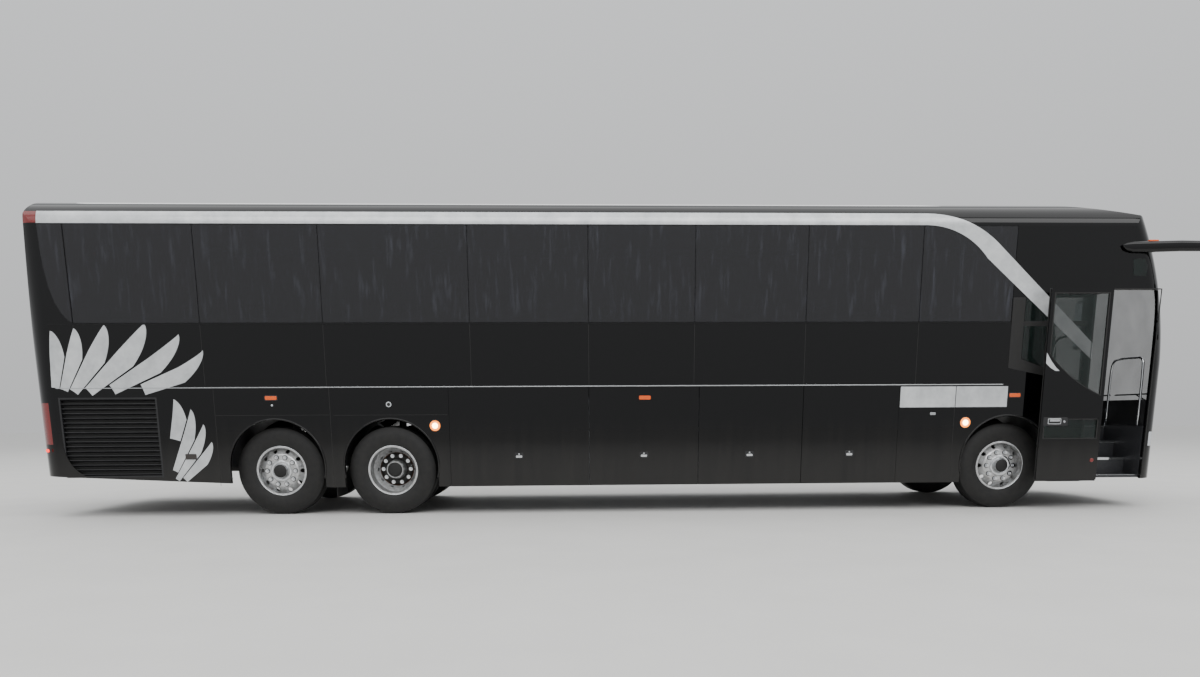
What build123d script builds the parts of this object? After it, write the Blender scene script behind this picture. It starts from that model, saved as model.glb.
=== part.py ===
from build123d import *
import os
from math import acos, cos, degrees, radians, sin, sqrt

# Three-axle touring coach, in millimetres.
# +X is forward, +Y is the driver's side, +Z is up. The floor is at z = 0.
# The origin is under the middle of the whole vehicle, mirrors counted.

# Body
body_length = 13716
body_width = 2591
body_height = 3660
mirror_reach = 430
wall = 45
panel_gap = 6
seat_gap = 0.3
skirt_height = 330
front_lip_height = 375
rear_lip_height = 490
belt_height = 1500
sill_height = 2240
cove_height = 3325
cove_rise = 275
cove_depth = 255
crown_radius = 4000
front_corner_radius = 200
rear_corner_radius = 260
rear_lean = 140
screen_lean = ((1750, 0), (2250, 45), (2750, 150), (3250, 320), (3750, 560))

# Axles and wheels
front_overhang = 2076
wheelbase = 7500
tag_spacing = 1350
tyre_radius = 525
tyre_width = 298
bead_radius = 286
rim_width = 246
rim_flange_radius = 298
steer_track = 2080
drive_track = 1840
twin_spacing = 340
kingpin_track = 1860
steer_angle = 40
arch_radius = 560
arch_rise = 50

# Lower side panels, counted from the drive axle
first_bay_from_drive = 705
bay_widths = (1671, 1324, 1264, 1175)
service_width = 685
grille_width = 1150
grille_from_rear = 293
grille_low = 470
grille_high = 1400
louvre_count = 17

# Side glass joints, counted from the drive axle
pane_joints = (-3560, -2123, -715, 985, 2379, 3634, 4960, 6320, 7440)
glass = 8
glass_joint = 8
glass_edge = 55
header_from_drive = 6780

# Cab windows, counted from the drive axle
cab_window_start = 7600
cab_window_end = 8370
cab_window_top = 2515
cab_window_rear_low = 1810
cab_window_front_low = 1540

# Entry door
pillar_setback = 346
doorway_width = 770
doorway_top = 2605
door_rear_gap = 18
door_edge_gap = 8
door_arm = 400
door_closed_angle = 8
door_shift = 690

# Windscreen
screen_low = 1300
screen_high = 3060
screen_half_width = 1150

# Inside
floor_height = 1400
floor_thickness = 30
bay_floor_height = 360
bulkhead = 30
first_step_height = 400
tread_depth = 240
riser = 200
step_sheet = 30
seat_pitch = 840
seat_rows = 13
seat_inner = 230
seat_outer = 1215
seat_leg = (130, 330)
seat_leg_half_width = 180
seat_leg_height = 400
back_slot = 24
back_slot_low = 520
driver_seat_from_nose = 1480
driver_seat_width = 480
driver_leg = (120, 360)
driver_leg_half_width = 150

# Running gear
spindle_radius = 40
bearing_gap = 0.3
knuckle_ear = 30
hub_radius = 95
axle_radius = 60
rail_offset = 430
rail_width = 80
rail_low = 670
rail_high = 830

# Nose and tail panels
bumper_height = 660
rear_bumper_height = 720
brow_from_nose = 760
hatch_half_width = 930
hatch_low = 730
hatch_high = 1700

# Mirrors
mirror_arm_radius = 28
mirror_out = 1430

# Sheets of the cab and steps
doorway_trim = 8
platform_height = 1000
platform_length = 1600
aisle_edge = 240

# Places that follow from the sizes
x_rear = -(body_length + mirror_reach) / 2
x_front = x_rear + body_length
x_steer = x_front - front_overhang
x_drive = x_steer - wheelbase
x_tag = x_drive - tag_spacing
half_width = body_width / 2
x_pillar = x_front - pillar_setback
x_jamb = x_pillar - doorway_width
x_first_bay = x_drive + first_bay_from_drive
bay_joints = [x_first_bay]
for width in bay_widths:
    bay_joints.append(bay_joints[-1] + width)
x_last_bay = bay_joints[-1]
x_service_end = x_last_bay + service_width
x_grille = x_rear + grille_from_rear
arch_height = tyre_radius + arch_rise
bay_ceiling = floor_height - floor_thickness
floor_end = x_jamb - 40
cab_back = x_front - platform_length
rear_cap_low = 300
rear_cap_high = 570
header_start = x_drive + header_from_drive
x_brow = x_front - brow_from_nose
screen_back = x_front - 1000
sides = (("right", -1), ("left", 1))
os.makedirs("parts", exist_ok=True)


def box_between(low, high, mode=Mode.ADD):
    """A box from its low corner to its high corner."""
    size = [b - a for a, b in zip(low, high)]
    middle = [(a + b) / 2 for a, b in zip(low, high)]
    with Locations(tuple(middle)):
        Box(*size, mode=mode)


def side_box(side, x_low, x_high, y_in, y_out, z_low, z_high, mode=Mode.ADD):
    """A box on one side of the coach, its y counted outwards from the middle."""
    y_low, y_high = sorted((side * y_in, side * y_out))
    box_between((x_low, y_low, z_low), (x_high, y_high, z_high), mode)


def save(part, name):
    """Label a finished piece and write its STEP file."""
    part.label = name
    export_step(part, f"parts/{name}.step")


def plan_outline(inset, shift):
    """Plan of the front half: straight sides, rounded corners and a crowned nose."""
    half = half_width - inset
    x_axis = x_front - crown_radius
    corner = front_corner_radius - inset
    corner_y = half - corner
    reach = crown_radius - inset - corner
    corner_x = x_axis + sqrt(reach ** 2 - corner_y ** 2)
    touch_x = x_axis + (crown_radius - inset) * (corner_x - x_axis) / reach
    touch_y = (crown_radius - inset) * corner_y / reach
    nose_x = x_front - inset
    with BuildLine() as outline:
        Line((x_axis + shift, half), (corner_x + shift, half))
        TangentArc((corner_x + shift, half), (touch_x + shift, touch_y), tangent=(1, 0))
        ThreePointArc((touch_x + shift, touch_y), (nose_x + shift, 0), (touch_x + shift, -touch_y))
        TangentArc((corner_x + shift, -half), (touch_x + shift, -touch_y), tangent=(1, 0))
        Line((corner_x + shift, -half), (x_axis + shift, -half))
        Line((x_axis + shift, -half), (x_axis + shift, half))
    return outline.line


def body_form(inset):
    """The closed outer form of the coach, drawn in all round by one inset."""
    half = half_width - inset
    x_axis = x_front - crown_radius
    below = -200 if inset else 0
    top = body_height - inset
    tail = x_rear + inset
    with BuildPart() as form:
        box_between((tail, -half, below), (x_axis + 500, half, top))
        # Upright lower nose, then the screen that leans back
        with BuildSketch(Plane.XY.offset(below)):
            add(plan_outline(inset, 0))
            make_face()
        extrude(amount=screen_lean[0][0] - below)
        for height, shift in screen_lean:
            with BuildSketch(Plane.XY.offset(height)):
                add(plan_outline(inset, -shift))
                make_face()
        loft()
        # Cross-section with its coved roof edges
        with BuildSketch(Plane.YZ):
            with BuildLine():
                roof_edge = (half_width - cove_depth, cove_height + cove_rise - inset)
                Line((half, below), (half, cove_height))
                TangentArc((half, cove_height), roof_edge, tangent=(0, 1))
                ThreePointArc(roof_edge, (0, top), (-roof_edge[0], roof_edge[1]))
                TangentArc((-half, cove_height), (-roof_edge[0], roof_edge[1]), tangent=(0, 1))
                Line((-half, cove_height), (-half, below))
                Line((-half, below), (half, below))
            make_face()
        extrude(amount=body_length, both=True, mode=Mode.INTERSECT)
        # Leaning tail, roof and brow, and the lower edge that rises at both ends
        foot = below if inset else rear_lip_height
        with BuildSketch(Plane.XZ):
            with BuildLine():
                Line((tail, foot), (tail, 1250))
                Line((tail, 1250), (tail + rear_lean, 3380))
                rear_edge = TangentArc((tail + rear_lean, 3380), (tail + rear_lean + 290, top),
                                       tangent=(rear_lean, 2130))
                Line(rear_edge @ 1, (x_front - 2900, top))
                roof = TangentArc((x_front - 2900, top), (x_front - 600, top - 220), tangent=(1, 0))
                brow = TangentArc(roof @ 1, (x_front - 300 - inset, 3170), tangent=roof % 1)
                Line(brow @ 1, (x_front + 100, 3100))
                if inset:
                    Polyline((x_front + 100, 3100), (x_front + 100, below), (tail, foot))
                else:
                    Polyline((x_front + 100, 3100), (x_front + 100, front_lip_height),
                             (x_jamb, skirt_height), (x_tag + 650, skirt_height), (tail, foot))
            make_face()
        extrude(amount=body_width, both=True, mode=Mode.INTERSECT)
        # Rounded upright corners of the tail
        with BuildSketch(Plane.XY.offset(below)):
            with BuildLine():
                r = rear_corner_radius - inset
                Line((tail, -half + r), (tail, half - r))
                TangentArc((tail, half - r), (tail + r, half), tangent=(0, 1))
                Line((tail + r, half), (x_front + 100, half))
                Line((x_front + 100, half), (x_front + 100, -half))
                Line((x_front + 100, -half), (tail + r, -half))
                TangentArc((tail, -half + r), (tail + r, -half), tangent=(0, -1))
            make_face()
        extrude(amount=body_height + 300, mode=Mode.INTERSECT)
    return form.part


outer = body_form(0)
skin = outer - body_form(wall)
glass_skin = outer - body_form(glass)


def cut_screen():
    """Cut the windscreen opening."""
    box_between((screen_back, -screen_half_width, screen_low), (x_front, screen_half_width, screen_high),
                mode=Mode.SUBTRACT)


# Roof
with BuildPart() as roof_shell:
    add(skin)
    box_between((x_rear + rear_cap_high, -half_width, cove_height), (header_start, half_width, body_height),
                mode=Mode.INTERSECT)
save(roof_shell.part, "roof_shell")

# Front cap of the roof, down to the top of the windscreen
with BuildPart() as front_header:
    add(skin)
    with BuildSketch(Plane.XZ):
        with BuildLine():
            Polyline((header_start, cove_height), (x_brow, cove_height), (x_brow, screen_high),
                     (x_front, screen_high), (x_front, body_height), (header_start, body_height),
                     close=True)
        make_face()
    extrude(amount=body_width, both=True, mode=Mode.INTERSECT)
save(front_header.part, "front_header")

# Windscreen
with BuildPart() as windscreen:
    add(glass_skin)
    box_between((screen_back, -screen_half_width, screen_low), (x_front, screen_half_width, screen_high),
                mode=Mode.INTERSECT)
save(windscreen.part, "windscreen")

# Nose panel with the corner posts, pocketed for the headlamps
lamp_low = 760
lamp_high = 930
lamp_inner = 700
with BuildPart() as front_mask:
    add(skin)
    box_between((x_pillar, -half_width, bumper_height), (x_front, half_width, screen_high),
                mode=Mode.INTERSECT)
    cut_screen()
    for name, side in sides:
        side_box(side, x_pillar + 60, x_front, lamp_inner, half_width, lamp_low, lamp_high,
                 mode=Mode.SUBTRACT)
save(front_mask.part, "front_mask")

with BuildPart() as headlamps:
    add(skin)
    with BuildSketch(Plane.XZ):
        with Locations(((x_pillar + 60 + x_front) / 2, (lamp_low + lamp_high) / 2)):
            Rectangle(x_front - x_pillar - 60, lamp_high - lamp_low)
    extrude(amount=body_width, both=True, mode=Mode.INTERSECT)
    box_between((x_pillar, -lamp_inner, 0), (x_front, lamp_inner, body_height), mode=Mode.SUBTRACT)
save(headlamps.part, "headlamps")

with BuildPart() as front_bumper:
    add(skin)
    box_between((x_pillar, -half_width, 0), (x_front, half_width, bumper_height), mode=Mode.INTERSECT)
save(front_bumper.part, "front_bumper")

# Side walls between the belt and the roof, with their window openings
for name, side in sides:
    with BuildPart() as side_wall:
        add(skin)
        with BuildSketch(Plane.XZ):
            with BuildLine():
                Polyline((x_rear + rear_cap_high, belt_height), (x_pillar, belt_height),
                         (x_pillar, screen_high), (x_brow, screen_high), (x_brow, cove_height),
                         (x_rear + rear_cap_high, cove_height), close=True)
            make_face()
        extrude(amount=-side * half_width, mode=Mode.INTERSECT)
        cut_screen()
        # Seat of the bonded panes, and the hole behind each
        side_box(side, x_drive + pane_joints[0], x_drive + pane_joints[-1], half_width - glass, half_width,
                 sill_height, cove_height, mode=Mode.SUBTRACT)
        for start, end in zip(pane_joints[:-1], pane_joints[1:]):
            side_box(side, x_drive + start + glass_edge, x_drive + end - glass_edge,
                     half_width - wall, half_width, sill_height + glass_edge, cove_height - glass_edge,
                     mode=Mode.SUBTRACT)
        # Cab window
        with BuildSketch(Plane.XZ):
            with BuildLine():
                Polyline((x_drive + cab_window_start, cab_window_top),
                         (x_drive + cab_window_end, cab_window_top),
                         (x_drive + cab_window_end, cab_window_front_low),
                         (x_drive + cab_window_start, cab_window_rear_low), close=True)
            make_face()
        extrude(amount=-side * body_width, mode=Mode.SUBTRACT)
        if side < 0:
            side_box(side, x_jamb, x_pillar, half_width - 2 * wall, half_width, belt_height, doorway_top,
                     mode=Mode.SUBTRACT)
    save(side_wall.part, f"side_wall_{name}")

# Bonded side panes, both sides
with BuildPart() as side_glass:
    for name, side in sides:
        for start, end in zip(pane_joints[:-1], pane_joints[1:]):
            side_box(side, x_drive + start + glass_joint / 2, x_drive + end - glass_joint / 2,
                     half_width - glass, half_width, sill_height, cove_height)
        # Cab window
        with BuildSketch(Plane.XZ.offset(-side * (half_width - glass))):
            with BuildLine():
                Polyline((x_drive + cab_window_start, cab_window_top),
                         (x_drive + cab_window_end, cab_window_top),
                         (x_drive + cab_window_end, cab_window_front_low),
                         (x_drive + cab_window_start, cab_window_rear_low), close=True)
            make_face()
        extrude(amount=-side * glass)
save(side_glass.part, "side_glass")

# Tail panel, with the openings of the engine door and the lamps
tail_lamp_low = 860
tail_lamp_high = 1340
tail_lamp_inner = 1010
tail_lamp_wrap = 190
top_lamp_low = 3335
top_lamp_high = 3465


def lamp_regions(mode):
    """The places of the tail lamps and the high lamps."""
    for name, side in sides:
        side_box(side, x_rear, x_rear + tail_lamp_wrap, tail_lamp_inner, half_width,
                 tail_lamp_low, tail_lamp_high, mode=mode)
        side_box(side, x_rear, x_rear + rear_cap_low, half_width - 180, half_width,
                 top_lamp_low, top_lamp_high, mode=mode)


with BuildPart() as lamp_places:
    lamp_regions(Mode.ADD)

with BuildPart() as rear_cap:
    add(skin)
    with BuildSketch(Plane.XZ):
        with BuildLine():
            Polyline((x_rear, rear_bumper_height), (x_rear + rear_cap_low, rear_bumper_height),
                     (x_rear + rear_cap_low, belt_height), (x_rear + rear_cap_high, belt_height),
                     (x_rear + rear_cap_high, body_height), (x_rear, body_height), close=True)
        make_face()
    extrude(amount=body_width, both=True, mode=Mode.INTERSECT)
    lamp_regions(Mode.SUBTRACT)
    box_between((x_rear, -hatch_half_width, hatch_low - 10), (x_rear + 200, hatch_half_width, hatch_high),
                mode=Mode.SUBTRACT)
save(rear_cap.part, "rear_cap")

with BuildPart() as tail_lamps:
    add(skin)
    add(lamp_places.part, mode=Mode.INTERSECT)
save(tail_lamps.part, "tail_lamps")

with BuildPart() as rear_bumper:
    add(skin)
    box_between((x_rear, -half_width, 0), (x_rear + rear_cap_low, half_width, rear_bumper_height),
                mode=Mode.INTERSECT)
save(rear_bumper.part, "rear_bumper")

with BuildPart() as engine_door:
    add(skin)
    box_between((x_rear, -hatch_half_width + panel_gap, hatch_low),
                (x_rear + 200, hatch_half_width - panel_gap, hatch_high - seat_gap), mode=Mode.INTERSECT)
save(engine_door.part, "engine_door")

# Lower side panels that stay fixed, with the wheel arches and the doorway
for name, side in sides:
    with BuildPart() as skirt:
        add(skin)
        skirt_end = x_jamb if side < 0 else x_pillar
        side_box(side, x_rear + rear_cap_low, skirt_end, 0, half_width, 0, belt_height,
                 mode=Mode.INTERSECT)
        side_box(side, x_first_bay, x_last_bay, 0, half_width, 0, belt_height, mode=Mode.SUBTRACT)
        side_box(side, x_grille + 20, x_grille + grille_width, 0, half_width, grille_low, grille_high,
                 mode=Mode.SUBTRACT)
        with BuildSketch(Plane.XZ):
            for axle in (x_tag, x_drive, x_steer):
                with Locations((axle, arch_height)):
                    Circle(arch_radius)
                with Locations((axle, arch_height / 2)):
                    Rectangle(2 * arch_radius, arch_height)
        extrude(amount=body_width, both=True, mode=Mode.SUBTRACT)
    save(skirt.part, f"skirt_{name}")

# Side louvres
louvre_pitch = (grille_high - grille_low) / louvre_count
with BuildPart() as side_louvres:
    for name, side in sides:
        low_x = x_grille + 20
        high_x = x_grille + grille_width
        side_box(side, low_x, high_x, half_width - wall, half_width, grille_low, grille_high)
        side_box(side, low_x + 20, high_x - 20, half_width - wall, half_width, grille_low + 20,
                 grille_high - 20, mode=Mode.SUBTRACT)
        for row in range(louvre_count):
            height = grille_low + (row + 0.5) * louvre_pitch
            with Locations(Location(((low_x + high_x) / 2, side * (half_width - wall / 2), height),
                                    (side * 35, 0, 0))):
                Box(high_x - low_x, wall - 5, 6)
save(side_louvres.part, "side_louvres")

# Luggage doors, hinged along the belt, one with a marker lamp on it
marker_stand = 10
marker_bay = 2
x_marker = x_drive + 3046
for name, side in sides:
    for number, (start, end) in enumerate(zip(bay_joints[:-1], bay_joints[1:]), start=1):
        with BuildPart() as luggage_door:
            add(skin)
            side_box(side, start + panel_gap / 2, end - panel_gap / 2, 0, half_width, 0,
                     belt_height - seat_gap, mode=Mode.INTERSECT)
            if number == marker_bay:
                side_box(side, x_marker - 80, x_marker + 80, half_width - seat_gap, half_width + marker_stand,
                         1340, 1402)
        save(luggage_door.part, f"luggage_door_{name}_{number}")

# Lamps and reflectors along the sides: place from the drive axle, height, length, depth
side_markers = ((-1372, 1386, 160, 62), (7555, 1379, 160, 62),
                (538, 1054, 110, 110), (6966, 1055, 110, 110), (-2358, 708, 130, 66))
with BuildPart() as side_lamps:
    for name, side in sides:
        for place, height, length, depth in side_markers:
            side_box(side, x_drive + place - length / 2, x_drive + place + length / 2, half_width,
                     half_width + marker_stand, height - depth / 2, height + depth / 2)
save(side_lamps.part, "side_lamps")

# Silver stripe along the roof edge, which sweeps down over the cab window
stripe_stand = 3
stripe_low = 3330
stripe_high = 3466
with BuildPart() as stripe:
    add(body_form(-stripe_stand))
    add(outer, mode=Mode.SUBTRACT)
    with BuildSketch(Plane.XZ):
        with BuildLine():
            Line((x_rear + rear_cap_low, stripe_low), (x_rear + rear_cap_low, stripe_high))
            Line((x_rear + rear_cap_low, stripe_high), (x_drive + 6345, stripe_high))
            bend_out = TangentArc((x_drive + 6345, stripe_high), (x_drive + 7227, 3123), tangent=(1, 0))
            sweep_out = Line(bend_out @ 1, (x_drive + 8460, 1990))
            Line(sweep_out @ 1, (x_drive + 8460, 1800))
            Line((x_drive + 8460, 1800), (x_drive + 7100, 2960))
            TangentArc((x_drive + 6345, stripe_low), (x_drive + 7100, 2960), tangent=(1, 0))
            Line((x_drive + 6345, stripe_low), (x_rear + rear_cap_low, stripe_low))
        make_face()
    extrude(amount=body_width, both=True, mode=Mode.INTERSECT)
    # Bright panels over the service door and the front arch
    for name, side in sides:
        for start, end in ((x_last_bay + 8, x_service_end), (x_service_end + 8, x_drive + 7465)):
            side_box(side, start, end, half_width, half_width + stripe_stand, 1240, 1486)
save(stripe.part, "silver_trim")

# Wheel housings over each arch
housing_gap = 15
housing_sheet = 6
with BuildPart() as wheel_housings:
    for name, side in sides:
        for axle, reach in ((x_tag, 700), (x_drive, 700), (x_steer, 760)):
            with BuildSketch(Plane.XZ.offset(-side * (half_width - wall))):
                with Locations((axle, arch_height)):
                    Circle(arch_radius + housing_gap + housing_sheet)
                    Circle(arch_radius + housing_gap, mode=Mode.SUBTRACT)
                    Rectangle(3 * arch_radius, 3 * arch_radius,
                              align=(Align.CENTER, Align.MAX), mode=Mode.SUBTRACT)
            extrude(amount=side * reach)
save(wheel_housings.part, "wheel_housings")

# Passenger floor, cut back beside the driver
with BuildPart() as passenger_floor:
    box_between((x_rear + rear_corner_radius + wall, -half_width + wall, bay_ceiling),
                (floor_end, half_width - wall, floor_height))
    box_between((cab_back, aisle_edge, bay_ceiling), (floor_end, half_width - wall, floor_height),
                mode=Mode.SUBTRACT)
save(passenger_floor.part, "passenger_floor")

# Luggage bay floor with its bulkheads
with BuildPart() as luggage_bays:
    box_between((x_first_bay, -half_width + wall + 10, bay_floor_height - bulkhead),
                (x_last_bay, half_width - wall - 10, bay_floor_height))
    for joint in bay_joints:
        box_between((joint - bulkhead / 2, -half_width + wall + 10, bay_floor_height - bulkhead),
                    (joint + bulkhead / 2, half_width - wall - 10, bay_ceiling))
save(luggage_bays.part, "luggage_bays")

# Frame rails fore and aft of the luggage bays
with BuildPart() as frame_rails:
    for name, side in sides:
        side_box(side, x_rear + wall + 60, x_first_bay - bulkhead / 2, rail_offset - rail_width / 2,
                 rail_offset + rail_width / 2, rail_low, rail_high)
        side_box(side, x_last_bay + bulkhead / 2, floor_end - 10, rail_offset - rail_width / 2,
                 rail_offset + rail_width / 2, rail_low, rail_high)
        # Posts up to the floor
        for place in (x_rear + 300, x_tag, x_drive, x_steer, x_steer + 400):
            side_box(side, place - 40, place + 40, rail_offset - rail_width / 2,
                     rail_offset + rail_width / 2, rail_high, bay_ceiling)
save(frame_rails.part, "frame_rails")

# Engine with its gearbox, one plain block between the rails
engine_low = 480
engine_high = 1250
with BuildPart() as engine_block:
    box_between((x_rear + 330, -rail_offset + rail_width / 2, engine_low),
                (x_tag - 700, rail_offset - rail_width / 2, engine_high))
save(engine_block.part, "engine_block")

# Axles, each with the air springs that carry the rails
beam = 90
hub_plane = tyre_radius
with BuildPart() as drive_axle:
    with BuildSketch(Plane.XZ.offset(-drive_track / 2)):
        with Locations((x_drive, hub_plane)):
            Circle(axle_radius)
    extrude(amount=drive_track)
    with BuildSketch(Plane.XZ.offset(-drive_track / 2 - 150)):
        with Locations((x_drive, hub_plane)):
            Circle(spindle_radius)
    extrude(amount=drive_track + 300)
    with Locations((x_drive, 0, hub_plane)):
        Sphere(190)
    for name, side in sides:
        with Locations((x_drive, side * rail_offset, (hub_plane + rail_low) / 2)):
            Cylinder(100, rail_low - hub_plane)
save(drive_axle.part, "drive_axle")

with BuildPart() as tag_axle:
    with BuildSketch(Plane.XZ.offset(-steer_track / 2 + 130)):
        with Locations((x_tag, hub_plane)):
            Rectangle(beam, beam)
    extrude(amount=steer_track - 260)
    with BuildSketch(Plane.XZ.offset(-steer_track / 2 - 60)):
        with Locations((x_tag, hub_plane)):
            Circle(spindle_radius)
    extrude(amount=steer_track + 120)
    for name, side in sides:
        with Locations((x_tag, side * rail_offset, (hub_plane + rail_low) / 2)):
            Cylinder(100, rail_low - hub_plane)
save(tag_axle.part, "tag_axle")

# Front axle beam, dropped in the middle, with an eye for each kingpin
kingpin = kingpin_track / 2
eye_radius = 46
eye_height = 160
pin_radius = 22
with BuildPart() as front_axle:
    with BuildSketch(Plane.YZ.offset(x_steer - beam / 2)):
        with BuildLine():
            Polyline((-kingpin + 20, hub_plane + beam / 2), (-kingpin + 200, hub_plane + beam / 2),
                     (-kingpin + 330, hub_plane - 60 + beam / 2), (kingpin - 330, hub_plane - 60 + beam / 2),
                     (kingpin - 200, hub_plane + beam / 2), (kingpin - 20, hub_plane + beam / 2),
                     (kingpin - 20, hub_plane - beam / 2), (kingpin - 180, hub_plane - beam / 2),
                     (kingpin - 310, hub_plane - 60 - beam / 2), (-kingpin + 310, hub_plane - 60 - beam / 2),
                     (-kingpin + 180, hub_plane - beam / 2), (-kingpin + 20, hub_plane - beam / 2),
                     close=True)
        make_face()
    extrude(amount=beam)
    for name, side in sides:
        with Locations((x_steer, side * kingpin, hub_plane)):
            Cylinder(eye_radius, eye_height)
        with Locations((x_steer, side * rail_offset, (hub_plane - 60 + rail_low) / 2)):
            Cylinder(100, rail_low - hub_plane + 60)
        with Locations((x_steer, side * kingpin, hub_plane)):
            Cylinder(pin_radius + bearing_gap, eye_height, mode=Mode.SUBTRACT)
save(front_axle.part, "front_axle")

# Steering knuckles: two ears and a kingpin about the eye, and the spindle outboard
ear_gap = 1
for name, side in sides:
    with BuildPart() as knuckle:
        ear_middle = eye_height / 2 + ear_gap + knuckle_ear / 2
        for level in (-1, 1):
            with Locations((x_steer, side * kingpin, hub_plane + level * ear_middle)):
                Cylinder(eye_radius, knuckle_ear)
            side_box(side, x_steer - eye_radius, x_steer + eye_radius, kingpin, kingpin + 92,
                     hub_plane + level * ear_middle - knuckle_ear / 2,
                     hub_plane + level * ear_middle + knuckle_ear / 2)
        side_box(side, x_steer - eye_radius, x_steer + eye_radius, kingpin + 60, kingpin + 92,
                 hub_plane - ear_middle, hub_plane + ear_middle)
        with Locations((x_steer, side * kingpin, hub_plane)):
            Cylinder(pin_radius, 2 * ear_middle)
        with BuildSketch(Plane.XZ.offset(-side * (kingpin + 92))):
            with Locations((x_steer, hub_plane)):
                Circle(spindle_radius)
        extrude(amount=-side * 90)
    save(knuckle.part, f"knuckle_{name}")


def tyre(axle, side, centre):
    """A hollow tyre on its own bead circle, its lateral centre counted outwards."""
    half = tyre_width / 2
    outer_line = ((-100, bead_radius + seat_gap), (-half, 395), (-half + 30, tyre_radius - 16),
                  (-half + 44, tyre_radius), (half - 44, tyre_radius), (half - 30, tyre_radius - 16),
                  (half, 395), (100, bead_radius + seat_gap))
    inner_line = ((82, bead_radius + seat_gap), (half - 22, 395), (half - 50, tyre_radius - 32),
                  (-half + 50, tyre_radius - 32), (-half + 22, 395), (-82, bead_radius + seat_gap))
    with BuildPart() as ring:
        with BuildSketch(Plane.YZ.offset(axle)):
            with BuildLine():
                Polyline([(side * (centre + u), hub_plane + r) for u, r in outer_line + inner_line],
                         close=True)
            make_face()
        revolve(axis=Axis((axle, 0, hub_plane), (0, 1, 0)))
    return ring.part


def turned(axle, side, points):
    """A solid turned about an axle from (distance out from the middle, radius) points."""
    with BuildPart() as solid:
        with BuildSketch(Plane.YZ.offset(axle)):
            with BuildLine():
                Polyline([(side * out, hub_plane + r) for out, r in points], close=True)
            make_face()
        revolve(axis=Axis((axle, 0, hub_plane), (0, 1, 0)))
    return solid.part


def barrel_points(centre):
    """Outline of a rim's barrel about its own centre line."""
    half = rim_width / 2
    flange = rim_flange_radius
    return ((centre - half, flange), (centre - half + 12, flange), (centre - half + 12, bead_radius),
            (centre + half - 12, bead_radius), (centre + half - 12, flange), (centre + half, flange),
            (centre + half, flange - 22), (centre + half - 30, bead_radius - 14),
            (centre - half + 30, bead_radius - 14), (centre - half, flange - 22))


hand_holes = 10
hand_hole_circle = 238
stud_circle = 167.5
stud_count = 10
stud_radius = 11
stud_length = 24
wheel_turn = {-1: 0, 1: 180 / stud_count}


def studs(axle, side, face):
    """The ring of studs that stand out of a wheel's disc, to be added to it."""
    with BuildPart() as ring:
        with BuildSketch(Plane.XZ.offset(-side * face)):
            with Locations((axle, hub_plane)):
                with PolarLocations(stud_circle, stud_count, start_angle=wheel_turn[side]):
                    Circle(stud_radius)
        extrude(amount=-side * stud_length)
    return ring.part


for name, side in sides:
    # Steered and tag wheels: the disc is bowed outwards
    for kind, axle in (("front", x_steer), ("tag", x_tag)):
        centre = steer_track / 2
        save(tyre(axle, side, centre), f"{kind}_tyre_{name}")
        bore = spindle_radius + bearing_gap
        with BuildPart() as wheel:
            add(turned(axle, side, barrel_points(centre)))
            add(turned(axle, side, ((centre + 40, bead_radius - 8), (centre + 118, 205), (centre + 128, 190),
                                    (centre + 128, 110), (centre + 112, 110), (centre + 112, 185),
                                    (centre + 20, bead_radius - 8))))
            add(turned(axle, side, ((centre + 128, 130), (centre + 136, 118), (centre + 136, 78),
                                    (centre + 180, 70), (centre + 180, 0), (centre + 84, 0),
                                    (centre + 84, bore), (centre + 10, bore), (centre + 10, hub_radius),
                                    (centre + 100, hub_radius), (centre + 112, 130))))
            with BuildSketch(Plane.XZ.offset(-side * centre)):
                with Locations((axle, hub_plane)):
                    with PolarLocations(hand_hole_circle, hand_holes, start_angle=wheel_turn[side]):
                        Circle(24)
            extrude(amount=-side * 160, mode=Mode.SUBTRACT)
            add(studs(axle, side, centre + 128))
        save(wheel.part, f"{kind}_rim_{name}")
    # Drive wheels: two tyres and the deep dish between them
    with BuildPart() as twin_tyres:
        add(tyre(x_drive, side, drive_track / 2 + twin_spacing / 2))
        add(tyre(x_drive, side, drive_track / 2 - twin_spacing / 2))
    save(twin_tyres.part, f"drive_tyres_{name}")
    with BuildPart() as twin_rims:
        centre = drive_track / 2
        bore = axle_radius + bearing_gap
        add(turned(x_drive, side, barrel_points(centre + twin_spacing / 2)))
        add(turned(x_drive, side, barrel_points(centre - twin_spacing / 2)))
        for way in (-1, 1):
            add(turned(x_drive, side, ((centre, 120), (centre, 205), (centre + way * 88, bead_radius - 8),
                                       (centre + way * 106, bead_radius - 8), (centre + way * 20, 190),
                                       (centre + way * 20, 120))))
        add(turned(x_drive, side, ((centre + 12, 205), (centre + 30, 195), (centre + 30, 120),
                                   (centre + 170, 105), (centre + 180, 95), (centre + 180, 0),
                                   (centre + 153, 0), (centre + 153, spindle_radius + bearing_gap),
                                   (centre + 3, spindle_radius + bearing_gap), (centre + 3, bore),
                                   (centre - 60, bore), (centre - 60, 130), (centre - 12, 205))))
        with BuildSketch(Plane.XZ.offset(-side * (centre - 60))):
            with Locations((x_drive, hub_plane)):
                with PolarLocations(hand_hole_circle, hand_holes, start_angle=wheel_turn[side]):
                    Circle(24)
        extrude(amount=-side * 120, mode=Mode.SUBTRACT)
        add(studs(x_drive, side, centre + 30))
    save(twin_rims.part, f"drive_rims_{name}")

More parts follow.
